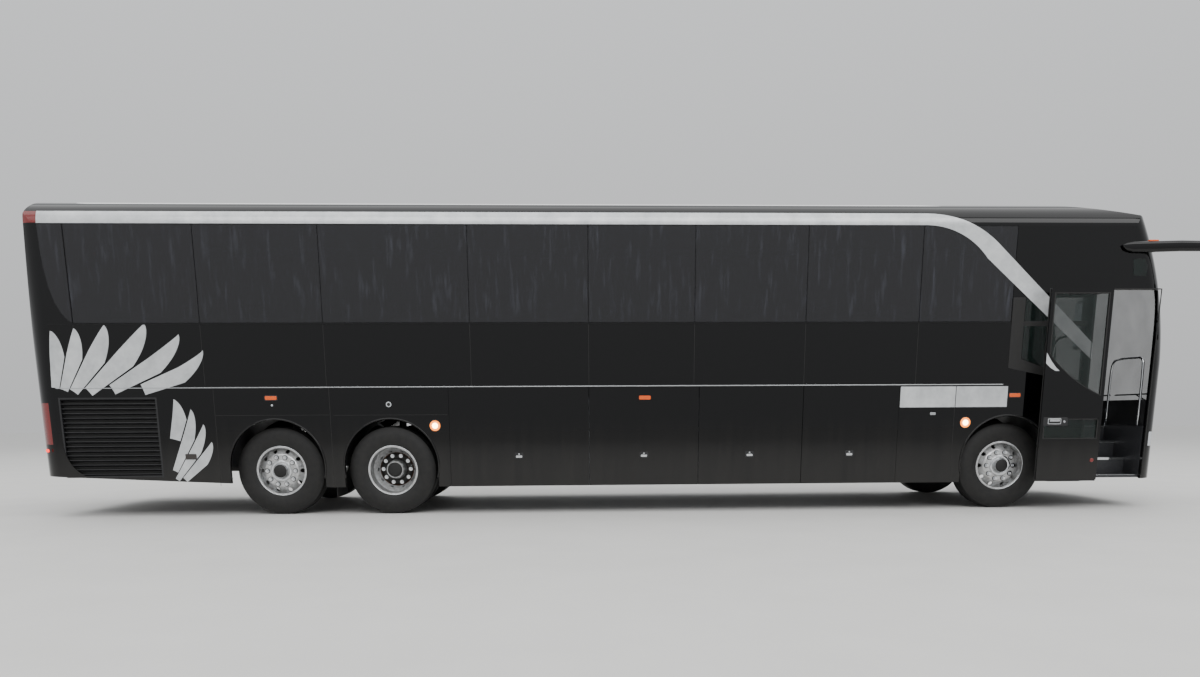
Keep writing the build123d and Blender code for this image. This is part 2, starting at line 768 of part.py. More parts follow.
# Entry door. It stands open beside the body, carried by two bent arms on one post.
leaf_start = x_jamb + door_rear_gap
leaf_end = x_pillar - door_edge_gap
leaf_low = 365
leaf_high = doorway_top - door_edge_gap
hinge_out = half_width - wall - 22
pivot_x = x_jamb + 45
pivot_y = -(hinge_out - door_arm * sin(radians(door_closed_angle)))
attach_x = pivot_x + door_arm * cos(radians(door_closed_angle))
open_x = attach_x - door_shift - pivot_x
open_angle = acos(open_x / door_arm)
open_y = -door_arm * sin(open_angle)
door_out = -(pivot_y + open_y) - hinge_out
swing_angle = degrees(open_angle) - door_closed_angle
arm_levels = (780, 2573)
arm_depth = 24
arm_width = 30
post_radius = 22
elbow_out = 175
lug = 10
link_pin = 9
leaf_y = -(half_width + door_out)

with BuildPart() as entry_door:
    box_between((leaf_start - door_shift, leaf_y, leaf_low),
                (leaf_end - door_shift, leaf_y + wall, leaf_high))
    with BuildSketch(Plane.XZ.offset(-leaf_y - wall - 50)):
        with BuildLine():
            low_x = leaf_start - door_shift + 38
            high_x = leaf_end - door_shift - 38
            top = leaf_high - 48
            Line((low_x, top), (high_x, top))
            Line((high_x, top), (high_x, 1362))
            ThreePointArc((high_x, 1362), ((low_x + high_x) / 2, 1545), (low_x, 1850))
            Line((low_x, 1850), (low_x, top))
        make_face()
        with Locations(((low_x + high_x) / 2, 975)):
            Rectangle(high_x - low_x, 240)
        with Locations((low_x + 130, 1060)):
            Rectangle(300, 110, mode=Mode.SUBTRACT)
    extrude(amount=200, mode=Mode.SUBTRACT)
    # Lugs that carry the arm ends
    for level in arm_levels:
        for way in (-1, 1):
            base = level + way * (arm_depth / 2 + 1 + lug / 2)
            box_between((pivot_x + open_x - 25, leaf_y + wall, base - lug / 2),
                        (pivot_x + open_x + 25, pivot_y + open_y + 18, base + lug / 2))
        with Locations((pivot_x + open_x, pivot_y + open_y, level)):
            Cylinder(link_pin, arm_depth + 2 + 2 * lug)
save(entry_door.part, "entry_door")

with BuildPart() as door_glass:
    with BuildSketch(Plane.XZ.offset(-leaf_y - 20)):
        with BuildLine():
            Line((low_x, top), (high_x, top))
            Line((high_x, top), (high_x, 1362))
            ThreePointArc((high_x, 1362), ((low_x + high_x) / 2, 1545), (low_x, 1850))
            Line((low_x, 1850), (low_x, top))
        make_face()
        with Locations(((low_x + high_x) / 2, 975)):
            Rectangle(high_x - low_x, 240)
        with Locations((low_x + 130, 1060)):
            Rectangle(300, 110, mode=Mode.SUBTRACT)
    extrude(amount=glass)
save(door_glass.part, "door_glass")

with BuildPart() as door_arms:
    post_low = first_step_height + seat_gap
    post_high = arm_levels[1] + arm_depth / 2
    with Locations((pivot_x, pivot_y, (post_low + post_high) / 2)):
        Cylinder(post_radius, post_high - post_low)
    for level in arm_levels:
        with BuildSketch(Plane.XY.offset(level - arm_depth / 2)):
            with BuildLine():
                FilletPolyline((pivot_x, pivot_y), (pivot_x - 4, pivot_y - elbow_out),
                               (pivot_x + open_x, pivot_y + open_y), radius=40)
            trace(line_width=arm_width)
            with Locations((pivot_x + open_x, pivot_y + open_y)):
                Circle(arm_width / 2 + 3)
                Circle(link_pin + bearing_gap, mode=Mode.SUBTRACT)
        extrude(amount=arm_depth)
save(door_arms.part, "door_arms")

# Entry steps between two cheeks
with BuildPart() as entry_steps:
    with BuildSketch(Plane.YZ.offset(x_jamb + doorway_trim)):
        with BuildLine():
            edge = -half_width + wall + 5
            points = [(edge, first_step_height)]
            for step in range(1, 5):
                y = edge + 50 + step * tread_depth
                points.append((y, first_step_height + (step - 1) * riser))
                points.append((y, first_step_height + step * riser))
            points.append((aisle_edge, points[-1][1]))
            points.append((aisle_edge, points[-1][1] - step_sheet))
            for step in range(4, 0, -1):
                y = edge + 50 + step * tread_depth + step_sheet
                points.append((y, first_step_height + step * riser - step_sheet))
                points.append((y, first_step_height + (step - 1) * riser - step_sheet))
            points.append((edge, first_step_height - step_sheet))
            Polyline(points, close=True)
        make_face()
    extrude(amount=doorway_width - 2 * doorway_trim)
    box_between((floor_end, -half_width + wall, first_step_height - step_sheet),
                (x_jamb + doorway_trim, aisle_edge, floor_height))
    box_between((x_pillar - doorway_trim, -half_width + wall + 5, first_step_height - step_sheet),
                (x_pillar + 12, aisle_edge, platform_height))
save(entry_steps.part, "entry_steps")


def keep_inside_nose(low, high):
    """Trim cab pieces to the inner face of the nose between two heights."""
    with BuildSketch(Plane.XY.offset(low)) as nose_plan:
        add(plan_outline(wall, 0))
        make_face()
    extrude(nose_plan.sketch, amount=high - low, mode=Mode.INTERSECT)


# Driver's platform with its risers
with BuildPart() as cab_floor:
    riser_edge = aisle_edge + step_sheet
    box_between((cab_back, riser_edge, platform_height - step_sheet),
                (x_front - wall, half_width - wall, platform_height))
    box_between((cab_back, aisle_edge, platform_height - step_sheet),
                (x_pillar, riser_edge, first_step_height + 4 * riser))
    box_between((x_pillar + 12, -half_width + wall, platform_height - step_sheet),
                (x_front - wall, riser_edge, platform_height))
    box_between((cab_back - step_sheet, aisle_edge, platform_height - step_sheet),
                (cab_back, half_width - wall, bay_ceiling))
    keep_inside_nose(platform_height - step_sheet, bay_ceiling)
save(cab_floor.part, "cab_floor")

# Dashboard with the steering column, deep before the driver and shallow before the door
wheel_y = 700
wheel_angle = 35
column_length = 330
column_tilt = (-sin(radians(wheel_angle)), 0, cos(radians(wheel_angle)))
column_foot = (x_front - 640, wheel_y, 1400)
with BuildPart() as dashboard:
    with BuildSketch(Plane.XZ.offset(-half_width)):
        with BuildLine():
            Polyline((x_front - 620, platform_height), (x_front - 700, 1360), (x_front - 600, 1470),
                     (x_front - 180, 1290), (x_front - 60, 1290), (x_front - 60, platform_height), close=True)
        make_face()
    extrude(amount=half_width - riser_edge)
    with BuildSketch(Plane.XZ.offset(-riser_edge)):
        with BuildLine():
            Polyline((x_front - 326, platform_height), (x_front - 326, 1320), (x_front - 180, 1290),
                     (x_front - 60, 1290), (x_front - 60, platform_height), close=True)
        make_face()
    extrude(amount=half_width + riser_edge)
    keep_inside_nose(platform_height, belt_height)
    with BuildSketch(Plane(origin=column_foot, x_dir=(0, 1, 0), z_dir=column_tilt)):
        Circle(32)
    extrude(amount=column_length)
save(dashboard.part, "dashboard")

wheel_centre = tuple(foot + column_length * way for foot, way in zip(column_foot, column_tilt))
wheel_plane = Plane(origin=wheel_centre, x_dir=(0, 1, 0), z_dir=column_tilt)
with BuildPart() as steering_wheel:
    with Locations(wheel_plane):
        with Locations((0, 0, 15)):
            Torus(225, 15)
            Cylinder(50, 30)
            with PolarLocations(0, 3, start_angle=90):
                with Locations((112, 0, 0)):
                    Box(225, 36, 14)
save(steering_wheel.part, "steering_wheel")

# Passenger seats in pairs, and the driver's seat, each a cushion on its leg and a back
cushion_outline = ((60, 370), (470, 380), (480, 480), (110, 470))
back_outline = ((60 - seat_gap, 370), (110 - seat_gap, 470), (-50, 1080), (-140, 1080), (-30, 420))
first_row = x_rear + 900
with BuildPart() as seats:
    for name, side in sides:
        middle = (seat_inner + seat_outer) / 2
        for row in range(seat_rows):
            start = first_row + row * seat_pitch
            for outline in (cushion_outline, back_outline):
                with BuildSketch(Plane.XZ.offset(-side * seat_inner)):
                    with BuildLine():
                        Polyline([(start + u, floor_height + v) for u, v in outline], close=True)
                    make_face()
                extrude(amount=-side * (seat_outer - seat_inner))
            side_box(side, start + seat_leg[0], start + seat_leg[1], middle - seat_leg_half_width,
                     middle + seat_leg_half_width, floor_height, floor_height + seat_leg_height)
            # Slot between the two backs
            side_box(side, start - 200, start + 500, middle - back_slot / 2, middle + back_slot / 2,
                     floor_height + back_slot_low, cove_height, mode=Mode.SUBTRACT)
    # Driver's seat
    start = x_front - driver_seat_from_nose
    for outline in (cushion_outline, back_outline):
        with BuildSketch(Plane.XZ.offset(-wheel_y + driver_seat_width / 2)):
            with BuildLine():
                Polyline([(start + u, platform_height + v) for u, v in outline], close=True)
            make_face()
        extrude(amount=-driver_seat_width)
    box_between((start + driver_leg[0], wheel_y - driver_leg_half_width, platform_height),
                (start + driver_leg[1], wheel_y + driver_leg_half_width, platform_height + seat_leg_height))
save(seats.part, "seats")

# Mirrors on arms that reach ahead of the nose
mirror_length = 170
mirror_width = 260
mirror_low = 2100
mirror_high = 2850
for name, side in sides:
    with BuildPart() as mirror:
        side_box(side, x_drive + 8720, x_drive + 8940, half_width, half_width + 50, 3010, 3130)
        head_x = x_front + mirror_reach - mirror_length / 2
        with BuildLine() as arm_line:
            Spline((x_drive + 8800, side * (half_width + 40), 3070),
                   (x_front - 300, side * (mirror_out - 40), 3110),
                   (head_x - 120, side * mirror_out, 3060),
                   (head_x, side * mirror_out, mirror_high - 40))
        with BuildSketch(Plane(origin=arm_line.line @ 0, z_dir=arm_line.line % 0)):
            Circle(mirror_arm_radius)
        sweep()
        with BuildSketch(Plane.XY.offset(mirror_low)):
            with Locations((head_x, side * mirror_out)):
                RectangleRounded(mirror_length, mirror_width, 60)
        extrude(amount=mirror_high - mirror_low)
    save(mirror.part, f"mirror_{name}")

# Mud flaps behind the drive wheels
with BuildPart() as mud_flaps:
    for name, side in sides:
        side_box(side, x_drive - 680, x_drive - 670, 780, half_width - wall, 210, 780)
save(mud_flaps.part, "mud_flaps")
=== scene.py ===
"""Looks of a three-axle touring coach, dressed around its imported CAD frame."""

import math

import bmesh
import bpy
from mathutils import Matrix, Vector


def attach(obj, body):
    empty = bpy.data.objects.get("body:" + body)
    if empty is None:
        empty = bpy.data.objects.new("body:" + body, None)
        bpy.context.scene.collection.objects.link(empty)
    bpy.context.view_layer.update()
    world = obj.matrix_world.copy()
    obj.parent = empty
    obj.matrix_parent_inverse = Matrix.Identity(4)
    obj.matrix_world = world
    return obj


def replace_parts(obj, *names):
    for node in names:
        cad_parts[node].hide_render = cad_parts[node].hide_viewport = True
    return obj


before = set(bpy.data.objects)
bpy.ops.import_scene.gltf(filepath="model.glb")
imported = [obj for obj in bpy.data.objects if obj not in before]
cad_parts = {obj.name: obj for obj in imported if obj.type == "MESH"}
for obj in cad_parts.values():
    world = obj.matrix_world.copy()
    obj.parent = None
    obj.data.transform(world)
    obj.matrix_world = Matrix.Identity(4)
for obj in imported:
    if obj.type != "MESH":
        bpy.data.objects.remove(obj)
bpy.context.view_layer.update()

# Places and sizes of the coach, in metres
HALF_WIDTH = 1.2955
X_DRIVE = -2.933
X_REAR = X_DRIVE - 4.140
X_FRONT = X_DRIVE + 9.576
X_STEER = X_DRIVE + 7.500
X_TAG = X_DRIVE - 1.350
HUB_HEIGHT = 0.525
LEDGE = 2.24
COVE = 3.325
X_PILLAR = X_FRONT - 0.346
X_JAMB = X_FRONT - 1.116
# Radius of the nose's crown seen from above
CROWN = 4.000
MIRROR_REACH = 0.430
# Wheel studs, and the degrees by which their circle is turned on each side
STUD_COUNT = 10
STUD_CIRCLE = 0.1675
STUD_TURN = {-1: 0, 1: 18}
# Open entry door: way back from its closed place, and its outer face
DOOR_SHIFT = 0.690
LEAF_FACE = 1.5112
# Joints between the side panes, measured from the drive axle
PANE_JOINTS = (-3.560, -2.123, -0.715, 0.985, 2.379, 3.634, 4.960, 6.320, 7.440)
SIDES = (("right", -1), ("left", 1))


# materials
def srgb(code):
    """An sRGB hex colour as linear RGBA."""
    parts = [int(code[i:i + 2], 16) / 255 for i in (1, 3, 5)]
    return tuple(c / 12.92 if c <= 0.04045 else ((c + 0.055) / 1.055) ** 2.4 for c in parts) + (1.0,)


def put(tree, kind, values=None, links=None, stops=(), **settings):
    """Add a node with its settings, input values and links, and with the colours of its ramp.

    A link comes from a socket, or from the first output of a node.
    """
    node = tree.nodes.new(kind)
    for key, value in settings.items():
        setattr(node, key, value)
    for key, value in (values or {}).items():
        node.inputs[key].default_value = value
    for key, source in (links or {}).items():
        tree.links.new(getattr(source, "outputs", [source])[0], node.inputs[key])
    for number, (position, code) in enumerate(stops):
        node.color_ramp.elements[number].position = position
        node.color_ramp.elements[number].color = srgb(code)
    return node


def start(name):
    """A fresh node material, its tree and its Object coordinates."""
    made = bpy.data.materials.new(name)
    made.use_nodes = True
    made.node_tree.nodes.clear()
    return made, made.node_tree, put(made.node_tree, "ShaderNodeTexCoord").outputs["Object"]


def closed(made, shader):
    """The material with its shader joined to its output."""
    put(made.node_tree, "ShaderNodeOutputMaterial", links={"Surface": shader})
    return made


def gloss_black_coach_paint():
    # Two-pack black polyurethane under clear lacquer: a deep mirror-like black that goes grey with road
    # film low down, with faint run marks and slightly wavy reflections from the hand-finished panels
    made, tree, place = start("gloss_black_coach_paint")
    wide = put(tree, "ShaderNodeTexNoise", {"Scale": 1.6, "Detail": 3.0}, {"Vector": place})
    upright = put(tree, "ShaderNodeMapping", {"Scale": (9.0, 9.0, 0.7)}, {"Vector": place})
    runs = put(tree, "ShaderNodeTexNoise", {"Scale": 1.4, "Detail": 5.0, "Roughness": 0.6},
               {"Vector": upright})
    height = put(tree, "ShaderNodeSeparateXYZ", links={0: place}).outputs["Z"]
    low = put(tree, "ShaderNodeMapRange", {"From Min": 0.3, "From Max": 1.25, "To Min": 1.0, "To Max": 0.12},
              {"Value": height})
    film = put(tree, "ShaderNodeMath", links={0: runs, 1: low}, operation="MULTIPLY")
    tone = put(tree, "ShaderNodeValToRGB", links={0: film}, stops=((0.12, "#030304"), (0.75, "#1d1b19")))
    rough = put(tree, "ShaderNodeMapRange",
                {"From Min": 0.1, "From Max": 0.7, "To Min": 0.06, "To Max": 0.26}, {"Value": film})
    bump = put(tree, "ShaderNodeBump", {"Strength": 0.08, "Distance": 0.01}, {"Height": wide})
    return closed(made, put(tree, "ShaderNodeBsdfPrincipled",
                            {"IOR": 1.5, "Specular IOR Level": 0.06, "Coat Weight": 1.0, "Coat IOR": 1.4,
                             "Coat Roughness": 0.02},
                            {"Base Color": tone, "Roughness": rough, "Normal": bump, "Coat Normal": bump}))


def silver_metallic_paint():
    # Silver basecoat with fine aluminium flake under lacquer: bright, soft-edged sheen, slightly dusty
    made, tree, place = start("silver_metallic_paint")
    flake = put(tree, "ShaderNodeTexNoise", {"Scale": 900.0, "Detail": 1.0}, {"Vector": place})
    dirt = put(tree, "ShaderNodeTexNoise", {"Scale": 5.0, "Detail": 6.0, "Roughness": 0.65},
               {"Vector": place})
    tone = put(tree, "ShaderNodeValToRGB", links={0: dirt}, stops=((0.3, "#b9bcbe"), (0.7, "#dcdedf")))
    bump = put(tree, "ShaderNodeBump", {"Strength": 0.05, "Distance": 0.0005}, {"Height": flake})
    return closed(made, put(tree, "ShaderNodeBsdfPrincipled",
                            {"Metallic": 0.35, "Roughness": 0.34, "Coat Weight": 0.6, "Coat Roughness": 0.05},
                            {"Base Color": tone, "Normal": bump}))


def tinted_bonded_glass():
    # Privacy-tinted toughened glass: almost black, mirror-smooth, with dried rain marks on the outside
    made, tree, place = start("tinted_bonded_glass")
    upright = put(tree, "ShaderNodeMapping", {"Scale": (7.0, 7.0, 0.8)}, {"Vector": place})
    marks = put(tree, "ShaderNodeTexNoise", {"Scale": 2.2, "Detail": 7.0, "Roughness": 0.7},
                {"Vector": upright})
    tone = put(tree, "ShaderNodeValToRGB", links={0: marks}, stops=((0.54, "#0d0d12"), (0.82, "#3d3f49")))
    rough = put(tree, "ShaderNodeMapRange",
                {"From Min": 0.5, "From Max": 0.85, "To Min": 0.02, "To Max": 0.16}, {"Value": marks})
    return closed(made, put(tree, "ShaderNodeBsdfPrincipled",
                            {"IOR": 1.52, "Alpha": 0.88, "Coat Weight": 0.5, "Coat Roughness": 0.02},
                            {"Base Color": tone, "Roughness": rough}))


def light_tint_glass():
    # Lightly tinted laminated cab glass: see-through with a green-grey cast and sharp reflections
    made, tree, place = start("light_tint_glass")
    haze = put(tree, "ShaderNodeTexNoise", {"Scale": 3.0, "Detail": 4.0}, {"Vector": place})
    alpha = put(tree, "ShaderNodeMapRange", {"To Min": 0.30, "To Max": 0.44}, {"Value": haze})
    return closed(made, put(tree, "ShaderNodeBsdfPrincipled",
                            {"Base Color": srgb("#12201c"), "IOR": 1.52, "Roughness": 0.02,
                             "Coat Weight": 0.6, "Coat Roughness": 0.01}, {"Alpha": alpha}))


def moulded_black_plastic():
    # Injection-moulded black ABS: satin, with a fine grain that catches a soft grey light
    made, tree, place = start("moulded_black_plastic")
    grain = put(tree, "ShaderNodeTexVoronoi", {"Scale": 650.0}, {"Vector": place})
    cloud = put(tree, "ShaderNodeTexNoise", {"Scale": 6.0, "Detail": 4.0}, {"Vector": place})
    tone = put(tree, "ShaderNodeValToRGB", links={0: cloud}, stops=((0.0, "#101012"), (1.0, "#222224")))
    bump = put(tree, "ShaderNodeBump", {"Strength": 0.2, "Distance": 0.0006}, {"Height": grain})
    return closed(made, put(tree, "ShaderNodeBsdfPrincipled", {"Roughness": 0.42, "IOR": 1.5},
                            {"Base Color": tone, "Normal": bump}))


def black_seal_rubber():
    # Extruded EPDM seal: dull charcoal, faintly greyed by weather
    made, tree, place = start("black_seal_rubber")
    cloud = put(tree, "ShaderNodeTexNoise", {"Scale": 14.0, "Detail": 5.0}, {"Vector": place})
    tone = put(tree, "ShaderNodeValToRGB", links={0: cloud}, stops=((0.0, "#0b0b0b"), (1.0, "#1d1c1b")))
    return closed(made, put(tree, "ShaderNodeBsdfPrincipled", {"Roughness": 0.62, "IOR": 1.5},
                            {"Base Color": tone}))


def tyre_rubber():
    # Carbon-black tyre compound: dull, browned by road dust towards the tread and in the shoulders
    made, tree, place = start("tyre_rubber")
    dust = put(tree, "ShaderNodeTexNoise", {"Scale": 16.0, "Detail": 8.0, "Roughness": 0.65},
               {"Vector": place})
    tone = put(tree, "ShaderNodeValToRGB", links={0: dust}, stops=((0.35, "#090909"), (0.8, "#1e1c1a")))
    grit = put(tree, "ShaderNodeTexNoise", {"Scale": 260.0, "Detail": 3.0}, {"Vector": place})
    bump = put(tree, "ShaderNodeBump", {"Strength": 0.25, "Distance": 0.001}, {"Height": grit})
    return closed(made, put(tree, "ShaderNodeBsdfPrincipled", {"Roughness": 0.6, "IOR": 1.5},
                            {"Base Color": tone, "Normal": bump}))


def polished_forged_aluminium():
    # Forged and polished aluminium wheel: bright, dulled in clouds by brake dust
    made, tree, place = start("polished_forged_aluminium")
    dust = put(tree, "ShaderNodeTexNoise", {"Scale": 22.0, "Detail": 7.0, "Roughness": 0.7},
               {"Vector": place})
    tone = put(tree, "ShaderNodeValToRGB", links={0: dust}, stops=((0.4, "#d9dadb"), (0.85, "#85817b")))
    rough = put(tree, "ShaderNodeMapRange",
                {"From Min": 0.3, "From Max": 0.8, "To Min": 0.26, "To Max": 0.46}, {"Value": dust})
    return closed(made, put(tree, "ShaderNodeBsdfPrincipled", {"Metallic": 0.85},
                            {"Base Color": tone, "Roughness": rough}))


def bright_chrome():
    # Chromed steel: mirror-bright with faint water spots
    made, tree, place = start("bright_chrome")
    spots = put(tree, "ShaderNodeTexNoise", {"Scale": 60.0, "Detail": 4.0}, {"Vector": place})
    rough = put(tree, "ShaderNodeMapRange",
                {"From Min": 0.4, "From Max": 0.8, "To Min": 0.05, "To Max": 0.25}, {"Value": spots})
    return closed(made, put(tree, "ShaderNodeBsdfPrincipled",
                            {"Metallic": 1.0, "Base Color": srgb("#d4d6d8")}, {"Roughness": rough}))


def rusted_hub_iron():
    # Cast-iron hub and studs: dark brown oxide with brighter rubbed spots
    made, tree, place = start("rusted_hub_iron")
    scale = put(tree, "ShaderNodeTexNoise", {"Scale": 45.0, "Detail": 8.0, "Roughness": 0.7},
                {"Vector": place})
    tone = put(tree, "ShaderNodeValToRGB", links={0: scale}, stops=((0.35, "#1c1613"), (0.7, "#6a4630")))
    bump = put(tree, "ShaderNodeBump", {"Strength": 0.4, "Distance": 0.001}, {"Height": scale})
    return closed(made, put(tree, "ShaderNodeBsdfPrincipled", {"Metallic": 0.4, "Roughness": 0.7},
                            {"Base Color": tone, "Normal": bump}))


def chassis_black_enamel():
    # Sprayed black chassis enamel under road dust: flat and grey-brown in clouds
    made, tree, place = start("chassis_black_enamel")
    dust = put(tree, "ShaderNodeTexNoise", {"Scale": 9.0, "Detail": 8.0, "Roughness": 0.7}, {"Vector": place})
    tone = put(tree, "ShaderNodeValToRGB", links={0: dust}, stops=((0.35, "#141414"), (0.8, "#3b3733")))
    return closed(made, put(tree, "ShaderNodeBsdfPrincipled", {"Roughness": 0.6}, {"Base Color": tone}))


def bay_lining_sheet():
    # Galvanised lining sheet of the luggage bays: pale grey spangle, scuffed
    made, tree, place = start("bay_lining_sheet")
    spangle = put(tree, "ShaderNodeTexVoronoi", {"Scale": 30.0}, {"Vector": place})
    tone = put(tree, "ShaderNodeValToRGB", links={0: spangle}, stops=((0.0, "#6d7073"), (1.0, "#8d9194")))
    return closed(made, put(tree, "ShaderNodeBsdfPrincipled", {"Metallic": 0.6, "Roughness": 0.45},
                            {"Base Color": tone}))


def floor_vinyl():
    # Dark vinyl floor: satin black with pale chips
    made, tree, place = start("floor_vinyl")
    chips = put(tree, "ShaderNodeTexVoronoi", {"Scale": 180.0}, {"Vector": place})
    tone = put(tree, "ShaderNodeValToRGB", links={0: chips}, stops=((0.1, "#6a6a6c"), (0.3, "#2b2c2f")))
    return closed(made, put(tree, "ShaderNodeBsdfPrincipled", {"Roughness": 0.5}, {"Base Color": tone}))


def seat_moquette():
    # Woven charcoal moquette with small blue-grey flecks, 4 mm apart: soft sheen, no gloss
    made, tree, place = start("seat_moquette")
    fleck = put(tree, "ShaderNodeTexVoronoi", {"Scale": 120.0}, {"Vector": place})
    tone = put(tree, "ShaderNodeValToRGB", links={0: fleck}, stops=((0.15, "#5a6270"), (0.35, "#24262c")))
    weave = put(tree, "ShaderNodeTexWave", {"Scale": 160.0, "Distortion": 1.0}, {"Vector": place})
    bump = put(tree, "ShaderNodeBump", {"Strength": 0.3, "Distance": 0.001}, {"Height": weave.outputs["Fac"]})
    return closed(made, put(tree, "ShaderNodeBsdfPrincipled",
                            {"Roughness": 0.9, "Sheen Weight": 0.4, "Sheen Roughness": 0.4},
                            {"Base Color": tone, "Normal": bump}))


def lens(name, code, glow=0.0):
    # Moulded acrylic lamp lens with fine vertical optics; lit ones glow softly
    made, tree, place = start(name)
    optics = put(tree, "ShaderNodeTexWave", {"Scale": 60.0, "Distortion": 0.0}, {"Vector": place})
    bump = put(tree, "ShaderNodeBump", {"Strength": 0.35, "Distance": 0.001},
               {"Height": optics.outputs["Fac"]})
    return closed(made, put(tree, "ShaderNodeBsdfPrincipled",
                            {"Base Color": srgb(code), "Roughness": 0.08, "IOR": 1.49, "Coat Weight": 0.8,
                             "Emission Color": srgb(code), "Emission Strength": glow}, {"Normal": bump}))


def mirror_silvering():
    # Silvered mirror glass: clean, sharp, slightly blue
    made, tree, place = start("mirror_silvering")
    film = put(tree, "ShaderNodeTexNoise", {"Scale": 12.0}, {"Vector": place})
    rough = put(tree, "ShaderNodeMapRange", {"To Min": 0.01, "To Max": 0.06}, {"Value": film})
    return closed(made, put(tree, "ShaderNodeBsdfPrincipled",
                            {"Metallic": 1.0, "Base Color": srgb("#cfd6dc")}, {"Roughness": rough}))


def pale_studio_floor():
    # Matt pale studio floor with a faint mottle
    made, tree, place = start("pale_studio_floor")
    mottle = put(tree, "ShaderNodeTexNoise", {"Scale": 1.5, "Detail": 4.0}, {"Vector": place})
    tone = put(tree, "ShaderNodeValToRGB", links={0: mottle}, stops=((0.0, "#cfcecb"), (1.0, "#dad9d6")))
    return closed(made, put(tree, "ShaderNodeBsdfPrincipled", {"Roughness": 0.75}, {"Base Color": tone}))


BLACK = gloss_black_coach_paint()
SILVER = silver_metallic_paint()
TINTED = tinted_bonded_glass()
CLEAR = light_tint_glass()
PLASTIC = moulded_black_plastic()
SEAL = black_seal_rubber()
TYRE = tyre_rubber()
WHEEL = polished_forged_aluminium()
CHROME = bright_chrome()
RUST = rusted_hub_iron()
CHASSIS = chassis_black_enamel()
LINING = bay_lining_sheet()
VINYL = floor_vinyl()
MOQUETTE = seat_moquette()
AMBER = lens("amber_lamp_lens", "#d8540a", 0.25)
RED = lens("red_lamp_lens", "#74100c", 0.0)
LIT_RED = lens("lit_red_lamp_lens", "#ff2a1c", 2.5)
WARM = lens("lit_lamp_lens", "#ff8a2c", 2.2)
CORE = lens("lit_lamp_core", "#ffd9a4", 16.0)
SMOKED = lens("smoked_lamp_lens", "#1c0f0a", 0.0)
WHITE = lens("clear_lamp_lens", "#c8ccd0", 0.0)
MIRROR = mirror_silvering()


# mesh helpers
def tidied(mesh):
    """Merge doubled corners and turn every face outwards."""
    work = bmesh.new()
    work.from_mesh(mesh)
    bmesh.ops.remove_doubles(work, verts=work.verts, dist=1e-6)
    bmesh.ops.recalc_face_normals(work, faces=work.faces)
    work.to_mesh(mesh)
    work.free()


def linked(name, data):
    """A new object in the scene."""
    made = bpy.data.objects.new(name, data)
    bpy.context.scene.collection.objects.link(made)
    return made


def smoothed(mesh):
    """Shade a mesh smooth."""
    for face in mesh.polygons:
        face.use_smooth = True


def evaluated(made):
    """The mesh of an object as its curve or its modifiers make it."""
    return bpy.data.meshes.new_from_object(made.evaluated_get(bpy.context.evaluated_depsgraph_get()))


def added(name, mesh, body="coach", smooth=False):
    """A clean mesh as a piece that rides on a body."""
    made = linked(name, mesh)
    tidied(mesh)
    if smooth:
        smoothed(mesh)
    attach(made, body)
    return made


def piece(name, verts, faces, material, body="coach", smooth=False):
    """A piece from its corner points and faces."""
    mesh = bpy.data.meshes.new(name)
    mesh.from_pydata([tuple(v) for v in verts], [], faces)
    mesh.materials.append(material)
    return added(name, mesh, body, smooth)


def bevelled(made, width, segments=2):
    """Round the edges of a piece."""
    work = bmesh.new()
    work.from_mesh(made.data)
    sharp = [e for e in work.edges if len(e.link_faces) == 2 and e.calc_face_angle(0) > 0.6]
    bmesh.ops.bevel(work, geom=sharp, offset=width, segments=segments, affect="EDGES", profile=0.5)
    work.to_mesh(made.data)
    work.free()
    return made


def sharpened(made, angle):
    """Keep hard corners hard on a smooth piece."""
    made.data.set_sharp_from_angle(angle=angle)
    return made


def compass(count):
    """Cosine and sine of even steps round a circle."""
    turns = [2 * math.pi * i / count for i in range(count)]
    return [(math.cos(turn), math.sin(turn)) for turn in turns]


def skin(rings, count, base=0, looped=False):
    """Faces between rings of points that follow each other, with flat ends unless they loop."""
    faces = []
    for i in range(rings if looped else rings - 1):
        here, after = base + i * count, base + (i + 1) % rings * count
        for j in range(count):
            k = (j + 1) % count
            faces.append([here + j, here + k, after + k, after + j])
    if not looped:
        faces.append([base + j for j in reversed(range(count))])
        faces.append([base + (rings - 1) * count + j for j in range(count)])
    return faces


def blocks(name, boxes, material, body="coach", edge=0.002):
    """Blocks with rounded edges as one piece, each given by two opposite corners."""
    verts, faces = [], []
    for low, high in boxes:
        (x0, x1), (y0, y1), (z0, z1) = (sorted(pair) for pair in zip(low, high))
        faces += skin(2, 4, len(verts))
        verts += [(x, y, z) for z in (z0, z1) for x, y in ((x0, y0), (x1, y0), (x1, y1), (x0, y1))]
    made = piece(name, verts, faces, material, body)
    return bevelled(made, edge) if edge else made


def side_slab(name, outlines, side, near, far, material, body="coach", face=HALF_WIDTH, edge=0.0015):
    """Flat shapes drawn in (x, z) on a side of the coach, from near to far off its face."""
    verts, faces = [], []
    for outline in outlines:
        faces += skin(2, len(outline), len(verts))
        verts += [(x, side * (face + stand), z) for stand in (near, far) for x, z in outline]
    made = piece(name, verts, faces, material, body)
    return bevelled(made, edge, 1) if edge else made


def spun(name, profile, axle, side, material, body, segments):
    """A closed profile of (out, radius) points turned about a wheel's axle."""
    verts = [(axle + radius * c, side * out, HUB_HEIGHT + radius * s)
             for c, s in compass(segments) for out, radius in profile]
    return piece(name, verts, skin(segments, len(profile), looped=True), material, body, smooth=True)


